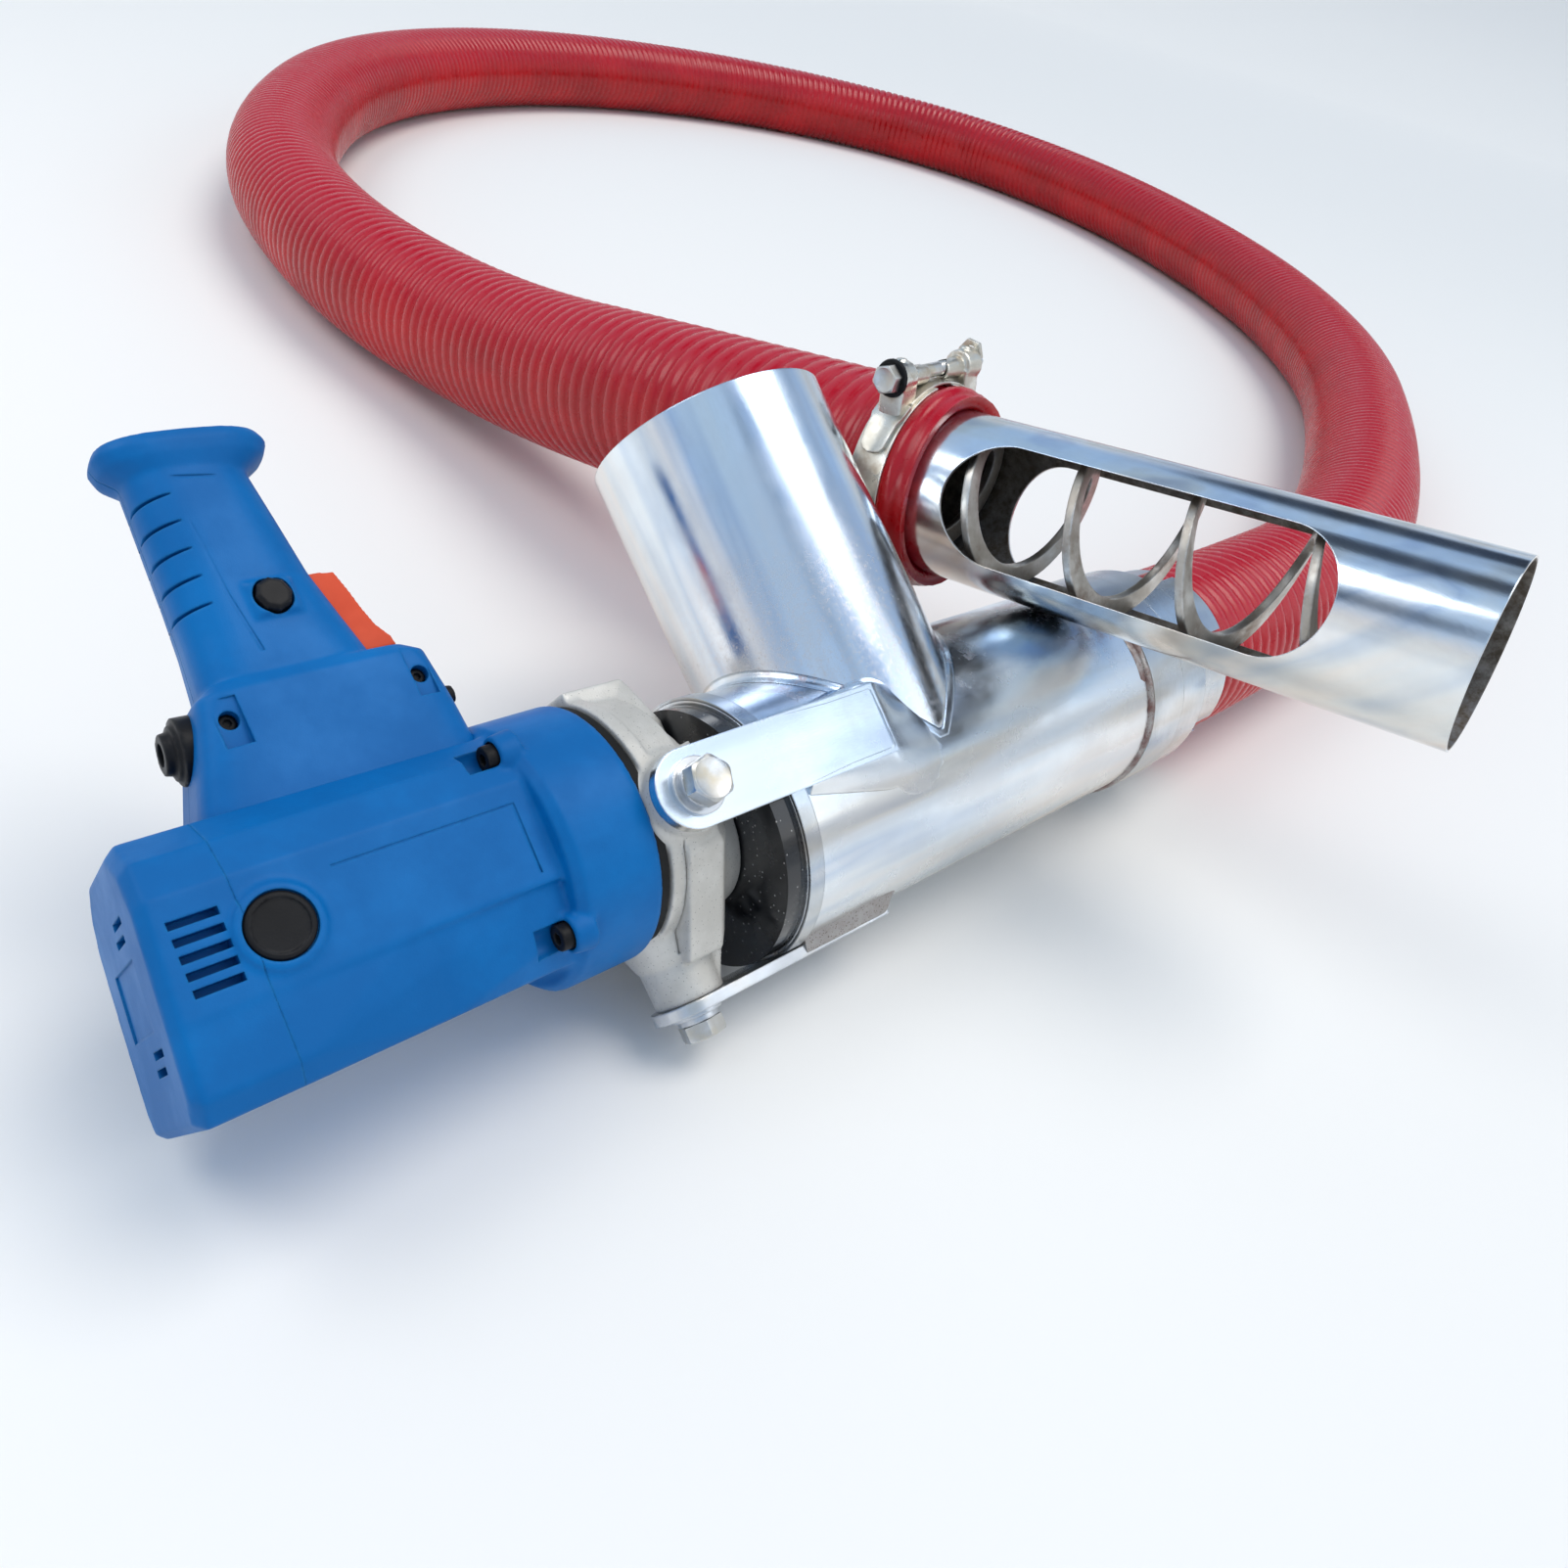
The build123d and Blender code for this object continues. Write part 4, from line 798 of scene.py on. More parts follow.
def run_together(name, forms, voxel, rounds):
    """Overlapping forms as one skin, with its edges softened as a mould leaves them."""
    whole = bmesh.new()
    for form in forms:
        whole.from_mesh(form)
    mesh = bpy.data.meshes.new(name)
    whole.to_mesh(mesh)
    whole.free()
    piece = stand(name, mesh)
    skin = piece.modifiers.new("skin", "REMESH")
    skin.mode = "VOXEL"
    skin.voxel_size = voxel
    soften = piece.modifiers.new("soften", "SMOOTH")
    soften.factor = 0.5
    soften.iterations = rounds
    settle(piece)
    return piece


def cut(piece, forms, keep_inside=False):
    """Cuts closed forms out of a piece one by one, or keeps only what is inside them."""
    for form in forms:
        cutter = stand("cutter", form)
        carve = piece.modifiers.new("carve", "BOOLEAN")
        carve.operation = "INTERSECT" if keep_inside else "DIFFERENCE"
        carve.solver = "MANIFOLD"
        carve.object = cutter
        settle(piece)
        bpy.data.objects.remove(cutter)


def seat(piece, material, body, slot_name, *nodes, place=machine_mm, sharp=38):
    """Moves a finished piece from the drawing to the machine and gives it its finish."""
    piece.data.transform(place)
    piece.data.shade_smooth()
    piece.data.set_sharp_from_angle(angle=math.radians(sharp))
    piece.data.materials.clear()
    piece.data.materials.append(material)
    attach(piece, body)
    if nodes:
        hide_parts(*nodes)


def copy_of(piece, name):
    """A second piece with its own copy of a mesh."""
    return stand(name, piece.data.copy())


UPPER_HALF = [(25, 65.5), (38, 56), (44, 43), (44.6, 4.5)]
SQUARE_HALF = [(44.4, 8), (43.8, -18), (38.5, -25.5)]
MIDDLE_HALF = [(43.6, 8), (41.2, -7), (34, -25.5)]
LOWER_HALF = [(42.2, 8), (36.5, -12), (24, -25.5)]
REAR_LEAN = 0.078


def body_ring(half, x, inset=0.0, lean=0.0):
    """One cross-section of the casing, pulled in all round; the rear ones lean back below."""
    points = []
    for y, z in half:
        level = MOTOR_Z + (z - MOTOR_Z) * (1 - inset / 46)
        points += [(x + lean * (level - MOTOR_Z), side * (y - inset), level) for side in (-1, 1)]
    return points


casing_forms = []
for half in (UPPER_HALF, SQUARE_HALF):
    rear = body_ring(half, -231, 3.2, REAR_LEAN) + body_ring(half, -227.5, 0.0, REAR_LEAN)
    casing_forms.append(hull(rear + body_ring(half, -92 if half is UPPER_HALF else -198)))
casing_forms += [
    hull(body_ring(SQUARE_HALF, -198) + body_ring(MIDDLE_HALF, -150)),
    hull(body_ring(MIDDLE_HALF, -150) + body_ring(LOWER_HALF, -92)),
    post((-97.5, 0, MOTOR_Z), (1, 0, 0), 4, 51.5, 54.5, 96),
    post((-94, 0, MOTOR_Z), (1, 0, 0), 32.5, 54.5, 54.5, 96),
    post((-62, 0, MOTOR_Z), (1, 0, 0), 2, 54.5, 53.5, 96),
]
SCREW_SPOTS = [(side * 36.5, MOTOR_Z + rise * 35.0) for side in (-1, 1) for rise in (-1, 1)]
casing_forms += [post((-101.5, y, z), (1, 0, 0), 9, 7.6, 8.6, 40) for y, z in SCREW_SPOTS]
for side in (-1, 1):
    casing_forms.append(post((BRUSH_X, side * 36, BRUSH_Z), (0, side, 0), 10.2, 15.0, 13.8, 64))
casing = run_together("motor_skin", casing_forms, 1.0, 4)
casing_cuts = [post((-114, y, z), (1, 0, 0), 15, 5.9, 5.9, 40) for y, z in SCREW_SPOTS]
for side in (-1, 1):
    casing_cuts.append(post((BRUSH_X, side * 44.2, BRUSH_Z), (0, side, 0), 6, 11.4, 11.4, 64))
    for i in range(5):
        z = 34.0 - 5.4 * i
        casing_cuts.append(slab(-222.5, -207.5, side * 38, side * 48, z - 1.35, z + 1.35))
    casing_cuts.append(slab(-172, -104.5, side * 43.8, side * 46, 35.2, 36.0))
    casing_cuts.append(slab(-105.2, -104.4, side * 43.8, side * 50, 9.0, 35.2))
for level, y in ((43.5, -22), (38.0, -19), (1.0, -26), (-4.5, -23)):
    casing_cuts.append(slab(-238, -225, y, y + 17, level - 1.3, level + 1.3))
casing_cuts.append(hull([
    (x + REAR_LEAN * (z - MOTOR_Z), y, z) for x in (-236, -230.2) for y in (-21, 21) for z in (8, 31)
]))
casing_cuts.append(post((-228, -44.6, -17), (0.4, -1, -0.5), 6, 1.2, 1.6, 12))
cut(casing, casing_cuts)
cover = copy_of(casing, "rear_cover_skin")
cut(cover, [slab(-240, COVER_SEAM - 0.02, -70, 70, -60, 90)], keep_inside=True)
cut(casing, [slab(COVER_SEAM + 0.02, -40, -70, 70, -60, 90)], keep_inside=True)
seat(casing, blue_nylon, "base", "blue_plastic", "motor_casing")
seat(cover, blue_nylon, "base", "blue_plastic", "rear_cover")

# ================================================================ blue handle halves
# Two mouldings screwed together on the machine's middle plane: a neck on the casing, an
# oval grip with finger notches, and a flared heel. Pockets sink two screws into the neck.


def oval(z, x0, x1, half, squareness):
    """A level section of the handle, from oval to nearly square."""
    points = []
    for i in range(40):
        a = 2 * math.pi * i / 40
        c, s = math.cos(a), math.sin(a)
        x = (x0 + x1) / 2 + (x1 - x0) / 2 * math.copysign(abs(c) ** (2 / squareness), c)
        points.append((x, half * math.copysign(abs(s) ** (2 / squareness), s), z))
    return points


GRIP = [
    oval(190, -176.5, -133.5, 15.6, 2.6), oval(168, -177, -130, 16.8, 2.7),
    oval(146, -177.6, -126.5, 17.2, 2.8), oval(128, -178.4, -121.5, 17.8, 3.0),
    oval(109, -180, -116.5, 19.0, 3.4),
]
NECK = [
    oval(110, -178.5, -106, 19.0, 6.0), oval(106, -184.5, -99.5, 21.5, 6.0),
    oval(86, -190.5, -97.0, 23.6, 6.5), oval(62, -198.5, -95, 25.5, 6.5),
]
HEEL = [
    oval(189, -174, -134, 15.2, 2.6), oval(195.5, -182, -124.5, 17.4, 2.8),
    oval(200, -183.5, -122, 18.0, 2.8), oval(203.6, -181.5, -124, 17.0, 2.8),
    oval(204.6, -176, -130, 13.5, 2.8),
]
handle_forms = [hull(a + b) for stack in (GRIP, NECK, HEEL) for a, b in zip(stack, stack[1:])]
handle_forms.append(hull(oval(143, -156.5, -136.5, 19.6, 5.0) + oval(130, -156.5, -136.5, 19.9, 5.0)))
handle = run_together("handle", handle_forms, 0.9, 3)
LOCK_PLACE = (-146.5, 136.5)
handle_cuts = [
    slab(-146, -118, -8.4, 8.4, 111.6, 146.4),
    post((LOCK_PLACE[0], -8, LOCK_PLACE[1]), (0, -1, 0), 20, 7.0, 7.0, 40),
]
for side in (-1, 1):
    handle_cuts.append(slab(-181.5, -172.5, side * 20.2, side * 30, 86, 104))
    handle_cuts.append(slab(-111.5, -103.5, side * 20.0, side * 30, 87, 108))
    for x in (-177, -107.5):
        handle_cuts.append(post((x, side * 14, 96), (0, side, 0), 8, 3.4, 3.4, 24))
    for i in range(5):
        z = 178.5 - 10.5 * i
        x = -175.6 - 0.5 * i
        handle_cuts.append(hull([
            (x - 4, side * 2, z), (x - 4, side * 18, z), (x + 13, side * 18, z + 2.2),
            (x + 1.2, side * 2, z + 0.6), (x - 4, side * 2, z + 1.5), (x - 4, side * 18, z + 1.5),
            (x + 13, side * 18, z + 3.0),
        ]))
    # the outline of the panel let into the grip's side
    outline = [(-170, 187, 14.2), (-146, 184.5, 14.6), (-142.5, 181, 14.4), (-138.5, 156, 15.2)]
    outline_back = [(-165, 181, 14.8), (-162.5, 160, 15.6), (-161, 140, 16.0), (-157.5, 118, 16.9)]
    for line, width in ((outline, 1.0), (outline_back, 1.1)):
        for (xa, za, depth_a), (xb, zb, depth_b) in zip(line, line[1:]):
            handle_cuts.append(hull([
                (x + dx, side * y, z + dz) for x, z, deep in ((xa, za, depth_a), (xb, zb, depth_b))
                for dx in (0, width) for dz in (0, width * 0.8) for y in (deep + 0.9, 24)
            ]))
cut(handle, handle_cuts)
near_half = copy_of(handle, "handle_near_skin")
cut(near_half, [slab(-260, -60, -60, -0.1, 30, 260)], keep_inside=True)
cut(handle, [slab(-260, -60, 0.1, 60, 30, 260)], keep_inside=True)
handle.name = "handle_far_skin"
seat(near_half, blue_nylon, "base", "blue_plastic", "handle_half_near")
seat(handle, blue_nylon, "base", "blue_plastic", "handle_half_far")

# ================================================================ trigger and lock button
# The trigger is an orange-red moulding with a finger curve; the lock button beside it is a
# black eight-sided pin that holds the trigger in.
trigger_red = plastic_finish(
    "trigger_red", (0.80, 0.095, 0.035), (0.66, 0.07, 0.026), (0.90, 0.26, 0.14), 0.40,
)
black_nylon = plastic_finish(
    "black_nylon", (0.012, 0.012, 0.014), (0.006, 0.006, 0.007), (0.07, 0.07, 0.075), 0.38, 0.16,
)
TRIGGER_BACK = -136
finger_curve = [
    (-124.5, 146.0), (-118.2, 145.2), (-115.4, 137.0), (-113.2, 129.0), (-110.7, 122.0), (-106.5, 116.0),
    (-106.0, 112.4),
]
trigger_forms = []
for (xa, za), (xb, zb) in zip(finger_curve, finger_curve[1:]):
    outline = ((xa, za), (xb, zb), (TRIGGER_BACK, za), (TRIGGER_BACK, zb))
    trigger_forms.append(hull([(x, y, z) for x, z in outline for y in (-7.9, 7.9)]))
trigger = run_together("trigger_skin", trigger_forms, 0.6, 2)
seat(trigger, trigger_red, "trigger", "red_plastic", "trigger")
button = run_together("lock_button_skin", [
    post((LOCK_PLACE[0], -13.5, LOCK_PLACE[1]), (0, -1, 0), 7.0, 6.4, 6.4, 8),
    post((LOCK_PLACE[0], -20.0, LOCK_PLACE[1]), (0, -1, 0), 1.4, 6.4, 5.2, 8),
], 0.35, 2)
seat(button, black_nylon, "lock_button", "black_plastic", "lock_button")

# ================================================================ screws, brush caps and cable gland
# Black socket screws with a star recess, black screw-in brush caps with a turned rim, and
# the ribbed rubber gland where the mains lead enters the handle.
flange_screws = [(-97.0, y, z) for y, z in SCREW_SPOTS]
screw_forms = [post((x, y, z), (-1, 0, 0), 8.5, 5.3, 5.0, 32) for x, y, z in flange_screws]
screw_heads = run_together("flange_screw_heads", screw_forms, 0.45, 2)
cut(screw_heads, [post((x - 5.0, y, z), (-1, 0, 0), 6, 2.5, 2.5, 6) for x, y, z in flange_screws])
seat(screw_heads, black_nylon, "base", "black_plastic")

HANDLE_SCREWS = [(-177, 96), (-107.5, 96)]
small_forms = [
    post((x, side * 12, z), (0, side, 0), 5.0, 3.2, 3.0, 28) for x, z in HANDLE_SCREWS for side in (-1, 1)
]
small_forms.append(post((-100, -9, 88), (1, 0, 0), 6.4, 4.2, 3.6, 28))
small_heads = run_together("handle_screw_heads", small_forms, 0.4, 2)
cut(small_heads, [
    post((x, side * 15.5, z), (0, side, 0), 6, 1.6, 1.6, 6) for x, z in HANDLE_SCREWS for side in (-1, 1)
])
seat(small_heads, black_nylon, "base", "black_plastic", "handle_screws")

cap_forms = []
for side in (-1, 1):
    cap_forms.append(post((BRUSH_X, side * 40, BRUSH_Z), (0, side, 0), 5.4, 11.0, 11.0, 64))
    cap_forms.append(post((BRUSH_X, side * 45.4, BRUSH_Z), (0, side, 0), 0.9, 11.0, 10.2, 64))
brush_cap = run_together("brush_cap_skins", cap_forms, 0.5, 2)
for side in (-1, 1):
    cut(brush_cap, [post((BRUSH_X, side * 45.5, BRUSH_Z), (0, side, 0), 3, 8.7, 9.4, 64)])
seat(brush_cap, black_nylon, "base", "black_plastic", "brush_caps")

gland_forms = [
    post((-184, 0, 94), (-1, 0, 0.1), 7.5, 12.4, 12.0, 48),
    post((-190, 0, 94.5), (-1, 0, 0.1), 3.0, 10.6, 9.6, 48),
    post((-192, 0, 94.7), (-1, 0, 0.1), 4.2, 8.0, 7.2, 48),
]
gland = run_together("lead_gland_skin", gland_forms, 0.6, 2)
cut(gland, [post((-190, 0, 94.6), (-1, 0, 0.1), 12, 4.2, 4.2, 24)])
seat(gland, black_nylon, "base", "rubber", "lead_gland")

# ================================================================ cast gearcase
# Sand-cast aluminium, tumbled: a drum that closes to a round nose, a sloping crown block
# on top, and three bosses whose flat faces take the straps. The grain of the sand shows.
cast_metal, tree, shader, where = blank_material("sand_cast_aluminium")
patches, specks = soil(tree, where, 26.0, 620.0, 0.17)
wear = use_group(tree, worn, {"Width": 0.0016, "Vector": where, "Break Scale": 260.0, "Bareness": 0.8})
alloy = blend_colour(tree, patches, (0.56, 0.54, 0.50), (0.70, 0.68, 0.64))
pitted = blend_colour(tree, specks, alloy, (0.24, 0.23, 0.21))
sand = use_group(tree, grain, {"Vector": where, "Scale": 1150.0, "Coarse Share": 0.45}).outputs[0]
set_sockets(tree, shader, {
    "Base Color": blend_colour(tree, wear.outputs["Mask"], pitted, (0.78, 0.78, 0.77)),
    "Roughness": span(tree, patches, 0.62, 0.46),
    "Metallic": span(tree, specks, 0.45, 0.2),
    "Normal": relief(tree, sand, 0.55, 0.0005, wear.outputs["Soft Normal"]),
})

BOLT_X = -43.0
SIDE_BOSS_Z = 17.0
NOSE_END = -10.4
case_forms = [
    post((-55, 0, MOTOR_Z), (1, 0, 0), 6.5, 54.0, 54.0, 96),
    post((-50, 0, MOTOR_Z), (1, 0, 0), 18, 52.5, 50.0, 96),
    post((-34, 0, MOTOR_Z - 3), (1, 0, 0), 12.5, 48.0, 40.0, 72),
    post((-23, 0, 5), (1, 0, 0), 23 + NOSE_END, 37.0, 33.5, 72),
    hull([
        (-55, 20, 74.5), (-55, -20, 74.5), (-24, 17, 74.5), (-24, -17, 74.5),
        (NOSE_END - 1, 14, 53), (NOSE_END - 1, -14, 53), (NOSE_END - 1, 14, 20), (NOSE_END - 1, -14, 20),
        (-55, 25, 40), (-55, -25, 40),
    ]),
    hull([
        (x, side * (y - pull), z + pull * 0.6) for side in (-1, 1)
        for x, pull in ((-49, 0), (-32, 0), (-22, 9)) for y, z in ((51, 32), (51, -6), (21, -45))
    ]),
    post((BOLT_X, 0, -20), (0, 0, -1), 22, 25.0, 16.5, 48),
    post((BOLT_X, 0, -40), (0, 0, -1), 20, 15.8, 15.0, 48),
    hull([(x, y, z) for y in (-2.2, 2.2) for x, z in ((-31, -56), (-29, -20), (-13, -22), (-28, -56))]),
    hull([(x, y, z) for y in (-11, -7.5) for x, z in ((-36, -57), (-30, -10), (-14, -24), (-32, -57))]),
]
for side in (-1, 1):
    case_forms.append(post((BOLT_X, side * 40, SIDE_BOSS_Z), (0, side, 0), 12, 25.0, 18.5, 48))
    case_forms.append(post((BOLT_X, side * 48, SIDE_BOSS_Z), (0, side, 0), 12, 17.5, 16.6, 48))
case = run_together("gearcase_skin", case_forms, 0.9, 3)
cut(case, [
    slab(-49.6, -49.0, -58, 58, -40, 0.5),
    post((-53, -46, 52), (0, -1, 0.4), 20, 3.0, 3.0, 24),
])
seat(case, cast_metal, "base", "cast_alloy", "gear_case")

# ================================================================ straps, bolts and washers
# Three zinc-plated flat bars bolted to the gearcase and welded to the head. M10 hex bolts
# hold each one over a spring washer and a broad flat washer.
zinc, tree, shader, laid, colour_now = metal_finish(
    "zinc_plate", (0.70, 0.73, 0.77), (0.52, 0.54, 0.57), 0.24, 0.42, (1.0, 5.0, 5.0), 0.16, 0.0012, 0.05,
)
yellow = span(tree, clouds(tree, laid, 60.0, 4.0), 0.0, 0.30, 0.52, 0.72)
stain(tree, shader, colour_now, yellow, (0.62, 0.52, 0.34), 0.45)
give_finish(head_steel, "strap_near", "strap_far")
give_finish(zinc, "strap_below", "strap_washers", "strap_spring_washers")

bolt_zinc, tree, shader, laid, bolt_colour = metal_finish(
    "bolt_zinc", (0.74, 0.76, 0.79), (0.54, 0.53, 0.50), 0.22, 0.40, (1.0, 1.0, 1.0), 0.12, 0.0004, 0.06,
    patch=60.0,
)
yellow = span(tree, clouds(tree, laid, 90.0, 4.0), 0.0, 0.45, 0.50, 0.70)
stain(tree, shader, bolt_colour, yellow, (0.62, 0.50, 0.28), 0.42)


def hex_head(foot, way, flats, height):
    """A forged hexagon head: flat sides, corners turned off in a cone, shallow dish."""
    way = Vector(way).normalized()
    first = way.orthogonal().normalized()
    second = way.cross(first)
    corner = flats / math.sqrt(3)
    levels = [
        (0.0, flats * 0.475), (0.35, corner + 1), (height - 1.5, corner + 1), (height - 0.5, corner * 0.95),
        (height, flats * 0.46), (height - 0.4, flats * 0.38), (height - 0.45, 0.4),
    ]
    loops = []
    for up_by, limit in levels:
        loop = []
        for i in range(48):
            a = 2 * math.pi * i / 48
            to_flat = flats / 2 / math.cos((a + math.pi / 6) % (math.pi / 3) - math.pi / 6)
            size = min(to_flat, limit)
            loop.append(Vector(foot) + way * up_by + (first * math.cos(a) + second * math.sin(a)) * size)
        loops.append(loop)
    return loops


def add_loops(loops, points, faces):
    """Adds a capped run of loops to growing point and face lists."""
    start = len(points)
    more, quads = skin_rings(np.array([[tuple(p) for p in loop] for loop in loops]))
    sides = len(loops[0])
    points += [tuple(p) for p in more]
    faces += [tuple(int(i) + start for i in f) for f in quads]
    last = start + (len(loops) - 1) * sides
    faces += [tuple(range(start, start + sides))[::-1], tuple(range(last, last + sides))]


BOSS_REACH = 60.0
UNDER_HEAD = 9.5
bolt_points, bolt_faces = [], []
for way in ((0, -1, 0), (0, 1, 0), (0, 0, -1)):
    level = SIDE_BOSS_Z if way[1] else 0.0
    foot = Vector((BOLT_X, 0, level)) + Vector(way) * (BOSS_REACH + UNDER_HEAD)
    add_loops(hex_head(foot, way, 17.0, 7.4), bolt_points, bolt_faces)
    shank = [disc(foot - Vector(way) * d, way, 5.0, 24) for d in (16, 0)]
    add_loops(shank, bolt_points, bolt_faces)
bolts = new_piece("strap_bolt_set", bolt_points, bolt_faces, bolt_zinc, machine_mm, 24.0)
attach(bolts, "base")
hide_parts("strap_bolts")

# fillet welds run round each strap's end and back along its edges on the head
STRAP_END = 62.0
STRAP_HALF = 16.0


def strap_weld(name, side_way, level, end_leg, edge_leg, material):
    """A weld from over the strap's edge down to the tube, dressed to a long smooth toe."""
    side_way = np.array(side_way, float)
    sideways = np.array([0.0, 0.0, 1.0]) if side_way[1] else np.array([0.0, 1.0, 0.0])
    path = [(10 + 4 * i, STRAP_HALF, 0.0, 1.0) for i in range(13)]
    path += [(STRAP_END - 4 + 4 * math.sin(a), STRAP_HALF - 4 + 4 * math.cos(a), math.sin(a), math.cos(a))
             for a in np.linspace(0.25, 1.35, 6)]
    path += [(STRAP_END, w, 1.0, 0.0) for w in np.linspace(STRAP_HALF - 5, 5 - STRAP_HALF, 12)]
    path += [(STRAP_END - 4 + 4 * math.cos(a), 4 - STRAP_HALF - 4 * math.sin(a), math.cos(a), -math.sin(a))
             for a in np.linspace(0.25, 1.35, 6)]
    path += [(58 - 4 * i, -STRAP_HALF, 0.0, -1.0) for i in range(13)]
    loops = []
    for i, (x, w, out_x, out_w) in enumerate(path):
        away = np.array([out_x, 0, 0]) + sideways * out_w
        edge = np.array([x, 0, 0]) + sideways * (w + level) + side_way * HEAD_RADIUS
        grown = min(1.0, max(0.0, (x - 10) / 45.0))
        leg = (3.5 + edge_leg * grown) * abs(out_w) + end_leg * max(0.0, out_x)
        over = min(1.0, leg / 10)
        top = edge + side_way * 5.12 - away * (0.6 + 2.0 * over)
        toe = edge + away * leg
        toe[1:] *= (HEAD_RADIUS - 0.1) / math.hypot(toe[1], toe[2])
        root = edge - away * 3
        root[1:] *= (HEAD_RADIUS - 1.0) / math.hypot(root[1], root[2])
        swell = 0.35 * noise.noise(Vector((x * 0.3, w * 0.3, level)))
        bend = edge + side_way * (4.6 + swell) + away * leg * 0.22
        knee = edge + away * leg * 0.55
        knee[1:] *= (HEAD_RADIUS + 0.9) / math.hypot(knee[1], knee[2])
        curve = []
        for t in np.linspace(0, 1, 12):
            back = 1 - t
            curve.append(top * back**3 + bend * 3 * t * back**2 + knee * 3 * t * t * back + toe * t**3)
        loops.append(curve + [root])
    made = skin_tube(name, loops, material, False)
    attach(made, "base")


strap_weld("near_strap_weld", (0, -1, 0), SIDE_BOSS_Z, 30.0, 12.0, head_steel)
strap_weld("far_strap_weld", (0, 1, 0), SIDE_BOSS_Z, 30.0, 12.0, head_steel)
strap_weld("lower_strap_weld", (0, 0, -1), 0.0, 6.0, 3.5, grey_weld)

# ================================================================ intake tube and spirals
# Thin polished stainless tube with two long windows cut by plasma and dressed; the spiral
# in it is flat spring strip, worn bright outside and brown with old rust and grain dust.
intake_steel, tree, shader, laid, colour_now = metal_finish(
    "stainless_tube", (0.94, 0.95, 0.96), (0.82, 0.81, 0.80), 0.09, 0.22, (8.0, 1.0, 1.0), 0.08, 0.0008, 0.04,
    patch=9.0, run=(0.9, 0.06, 0.9),
)
# grain dust and old rust coat the bore, which is told from the outside by its distance from the line
here = put(tree, "ShaderNodeNewGeometry").outputs["Position"]
from_end = put(tree, "ShaderNodeVectorMath", {0: here, 1: intake_open_end}, operation="SUBTRACT").outputs[0]
along_way = put(tree, "ShaderNodeVectorMath", {0: from_end, 1: intake_way}, operation="PROJECT").outputs[0]
off_line = put(tree, "ShaderNodeVectorMath", {0: from_end, 1: along_way}, operation="SUBTRACT").outputs[0]
off_size = put(tree, "ShaderNodeVectorMath", {0: off_line}, operation="LENGTH").outputs["Value"]
inner_wall = span(tree, off_size, 1.0, 0.0, 0.0426, 0.0432)
dusted = span(tree, clouds(tree, laid, 130.0, 6.0, 0.75), 0.72, 1.0, 0.35, 0.6)
stain(tree, shader, colour_now, figure(tree, "MULTIPLY", inner_wall, dusted), (0.15, 0.125, 0.10), 0.72)
give_finish(intake_steel, "intake_tube")

spring_strip, tree, shader, laid, colour_now = metal_finish(
    "spring_strip", (0.66, 0.64, 0.60), (0.42, 0.38, 0.33), 0.28, 0.50, (1.0, 1.0, 1.0), 0.25, 0.0016, 0.10,
    patch=30.0,
)
rust = span(tree, clouds(tree, laid, 48.0, 5.0, 0.7), 0.0, 0.55, 0.50, 0.68)
stain(tree, shader, colour_now, rust, (0.24, 0.13, 0.07), 0.66)
give_finish(spring_strip, "intake_spiral", "head_spiral", "hose_spiral", "drive_coupler", "coupler_pin")

# ================================================================ hose clamp
# A heavy T-bolt clamp: a plain stainless band, a curved bridge under the gap, two cast
# trunnions, a stamped tab and a long bolt whose thread stands out past its nut.
clamp_steel, tree, shader, laid, colour_now = metal_finish(
    "clamp_steel", (0.80, 0.78, 0.72), (0.58, 0.55, 0.48), 0.20, 0.42, (1.0, 1.0, 1.0), 0.15, 0.0010, 0.07,
    patch=60.0,
)
brown = span(tree, clouds(tree, laid, 110.0, 4.0), 0.0, 0.5, 0.54, 0.70)
stain(tree, shader, colour_now, brown, (0.34, 0.24, 0.13), 0.55)
give_finish(clamp_steel, "clamp_band", "clamp_bridge", "clamp_nut")
band_low, band_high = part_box("clamp_band")
clamp_back = ((band_low + band_high) / 2 - intake_open_end).dot(-intake_way)
clamp_mid = up_the_intake(clamp_back)
clamp_up = (Vector((0, 0, 1)) - intake_way * intake_way.z).normalized()
clamp_side = clamp_up.cross(intake_way)
clamp_turn = Matrix((intake_way, clamp_side, clamp_up)).transposed().to_4x4()
clamp_mm = Matrix.Translation(clamp_mid) @ clamp_turn @ Matrix.Scale(0.001, 4)
BOLT_RISE = 60.5


def seat_on_clamp(piece, material, *nodes):
    """Moves a piece drawn about the clamp's middle (X to the mouth, Z up) onto the machine."""
    seat(piece, material, "base", "zinc_steel", *nodes, place=clamp_mm, sharp=35)


LUG_OUTLINE = ((23, BOLT_RISE - 2), (36, BOLT_RISE - 2), (24, 48.5), (37, 40))
trunnion_forms = []
for side in (-1, 1):
    trunnion_forms += [
        post((0, side * 24.5, BOLT_RISE - 0.5), (0, side, 0), 12, 8.0, 8.8, 40),
        hull([(x, side * y, z) for x in (-7, 7) for y, z in LUG_OUTLINE]),
        post((0, side * 30.5, BOLT_RISE + 5), (0, 0, 1), 4.2, 3.4, 2.8, 24),
        post((0, side * 8, BOLT_RISE - 1), (0, side, 0), 18, 5.0, 5.6, 32),
    ]
trunnions = run_together("clamp_trunnion_skins", trunnion_forms, 0.7, 4)
cut(trunnions, [post((0, -60, BOLT_RISE), (0, 1, 0), 120, 4.1, 4.1, 32)])
seat_on_clamp(trunnions, clamp_steel, "clamp_trunnions")

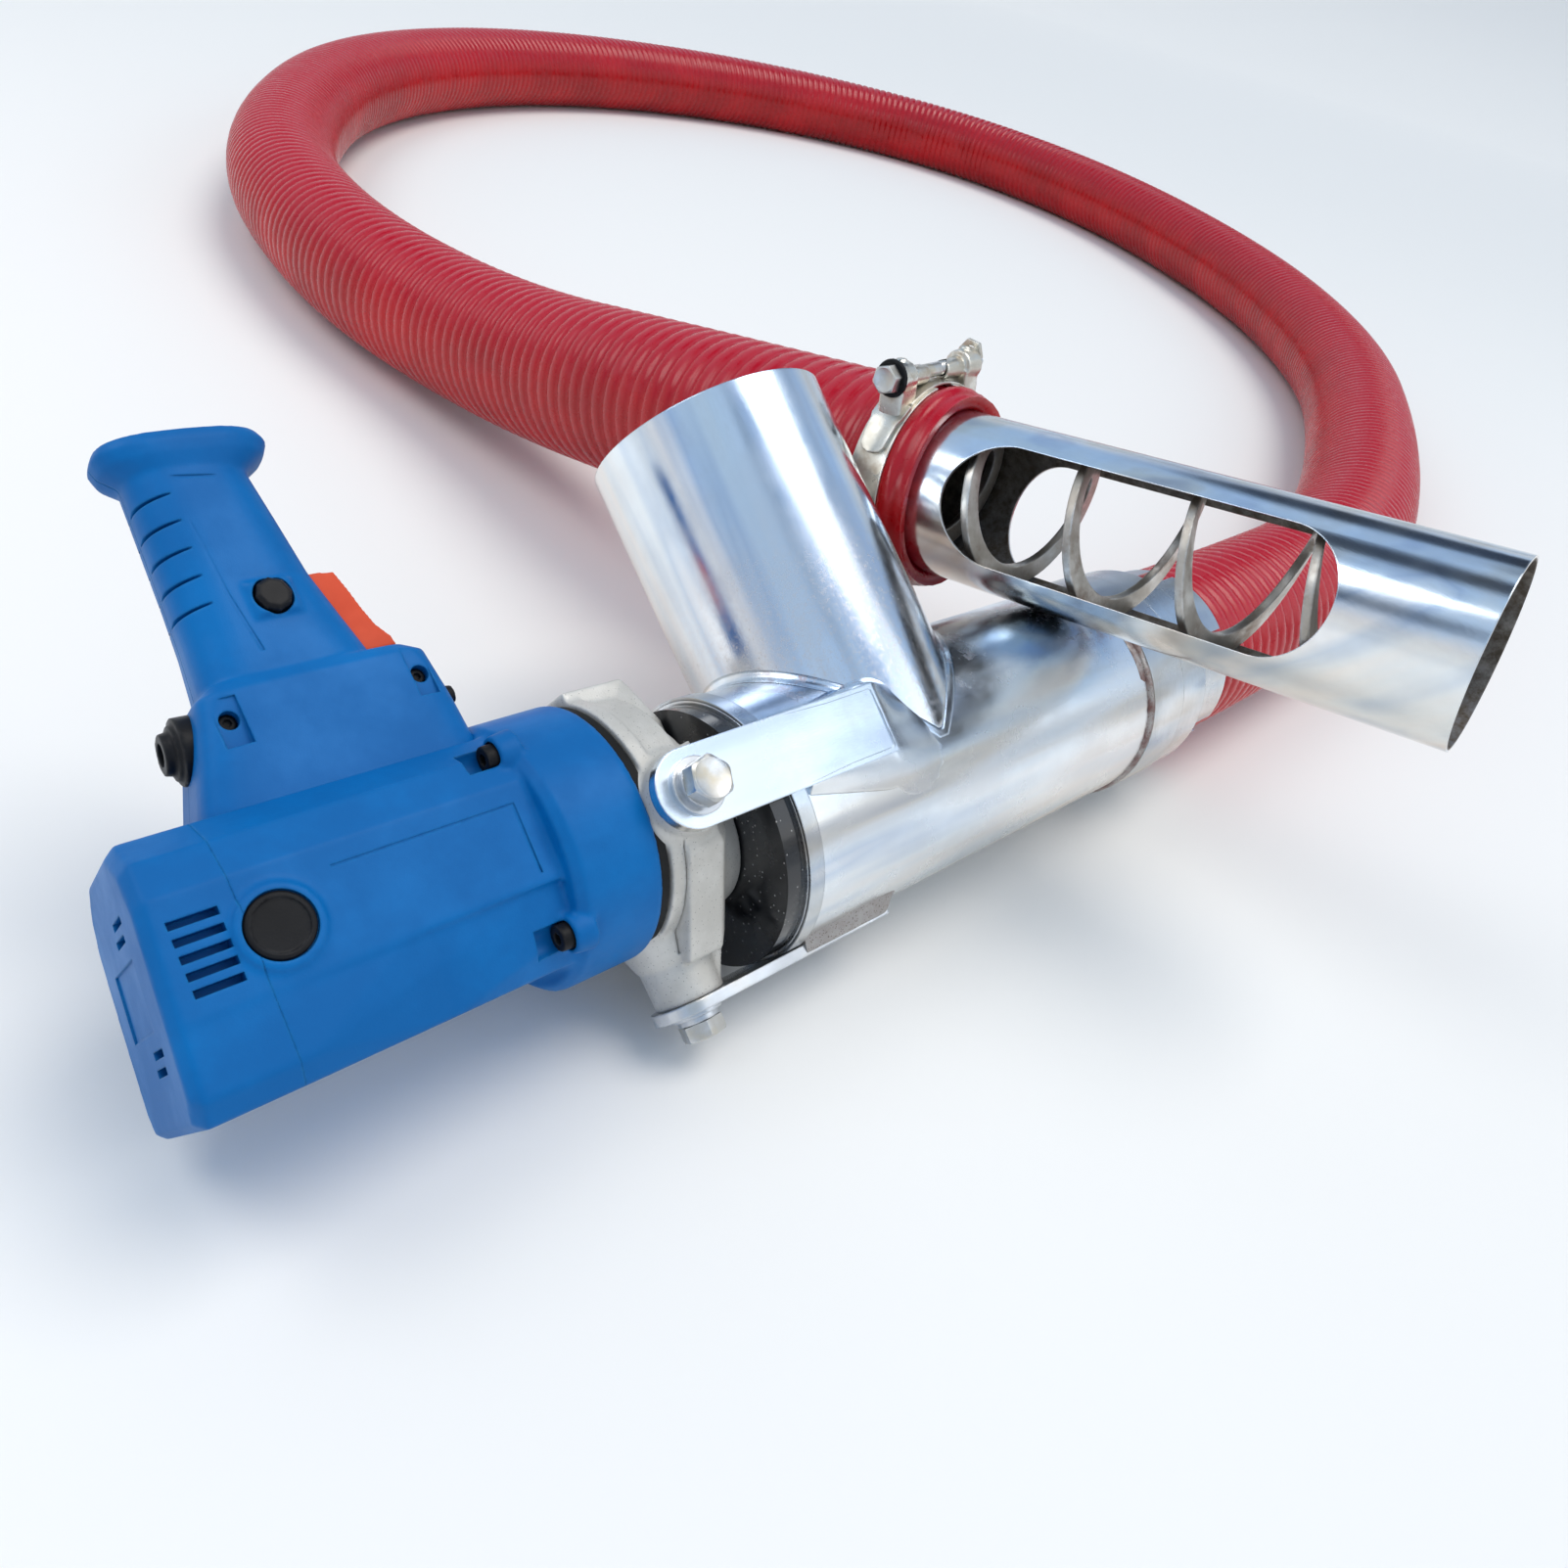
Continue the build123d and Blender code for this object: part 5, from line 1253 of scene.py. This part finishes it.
clamp_points, clamp_faces = [], []
add_loops(hex_head(Vector((0, -38.4, BOLT_RISE)), (0, -1, 0), 13.0, 6.4), clamp_points, clamp_faces)
THREAD_STEPS = 150
thread = []
for i in range(THREAD_STEPS):
    y = -38.5 + 0.5 * i * 85.0 / 75.0
    cut_in = 0.32 * (1 - math.cos(i * math.pi * 0.5)) if y > 4 else 0.0
    thread.append(disc((0, y, BOLT_RISE), (0, 1, 0), 3.7 - cut_in, 20))
add_loops(thread, clamp_points, clamp_faces)
clamp_bolt = new_piece("clamp_bolt_skin", clamp_points, clamp_faces, None, None, 26.0)
seat_on_clamp(clamp_bolt, bolt_zinc, "clamp_bolt")
washer_form = post((0, -36.8, BOLT_RISE), (0, -1, 0), 1.8, 9.6, 9.2, 48)
dark_washer = run_together("clamp_washer", [washer_form], 0.4, 1)
seat_on_clamp(dark_washer, black_nylon)

# the stamped tab lies on the band under the bolt's head
tab_outline = [(0.0, 9.6), (0.30, 9.4), (0.42, 8.2), (0.62, 8.0), (0.88, 7.2), (0.97, 5.0), (1.0, 1.8)]
tab_rings = []
for share, half in tab_outline:
    angle = math.radians(90 + 33 + 30 * share)
    rows = []
    for lift in (54.6, 56.3):
        for x in (np.linspace(-half, half, 7) if lift > 55 else np.linspace(half, -half, 7)):
            rim = 0.5 * (abs(x) > half * 0.62) - 0.5 * (0.18 < share < 0.2) if lift > 55 else 0.0
            rows.append((x, (lift + rim) * math.cos(angle), (lift + rim) * math.sin(angle)))
    tab_rings.append(rows)
tab = skin_tube("clamp_tab", tab_rings, clamp_steel, False, None, 40.0)
seat_on_clamp(tab, clamp_steel)

# ================================================================ what is inside
# Copper commutator, stacked iron, ground gears, bearings and the carbon brushes are seen
# only through gaps. Each has the finish of its trade.
INNER = {
    "gear_steel": ((0.42, 0.42, 0.43), (0.25, 0.25, 0.26), 0.28, 0.45, (
        "armature_shaft", "motor_pinion", "first_gear", "lay_pinion", "lay_shaft", "output_gear",
        "output_spindle", "rear_motor_bearing", "front_motor_bearing", "spindle_bearing", "brush_springs",
    )),
    "turned_copper": ((0.72, 0.40, 0.24), (0.45, 0.23, 0.12), 0.25, 0.45, ("commutator", "brush_holders")),
    "stacked_iron": ((0.22, 0.22, 0.23), (0.12, 0.12, 0.13), 0.40, 0.60, ("rotor_core", "stator")),
    "black_zinc": ((0.06, 0.06, 0.065), (0.02, 0.02, 0.022), 0.35, 0.55, (
        "gearcase_screws", "handle_screws",
    )),
}
for finish, (pale, dark, smooth, rough, names) in INNER.items():
    made = metal_finish(finish, pale, dark, smooth, rough, (12.0, 1.0, 1.0), 0.2, 0.0006, 0.05, patch=50.0)[0]
    give_finish(made, *names)
black_rubber = plastic_finish(
    "black_rubber", (0.02, 0.02, 0.02), (0.01, 0.01, 0.01), (0.08, 0.08, 0.08), 0.62,
)
give_finish(black_rubber, "spindle_seal", "carbon_brushes", "cooling_fan", "switch_body", "gear_plate")
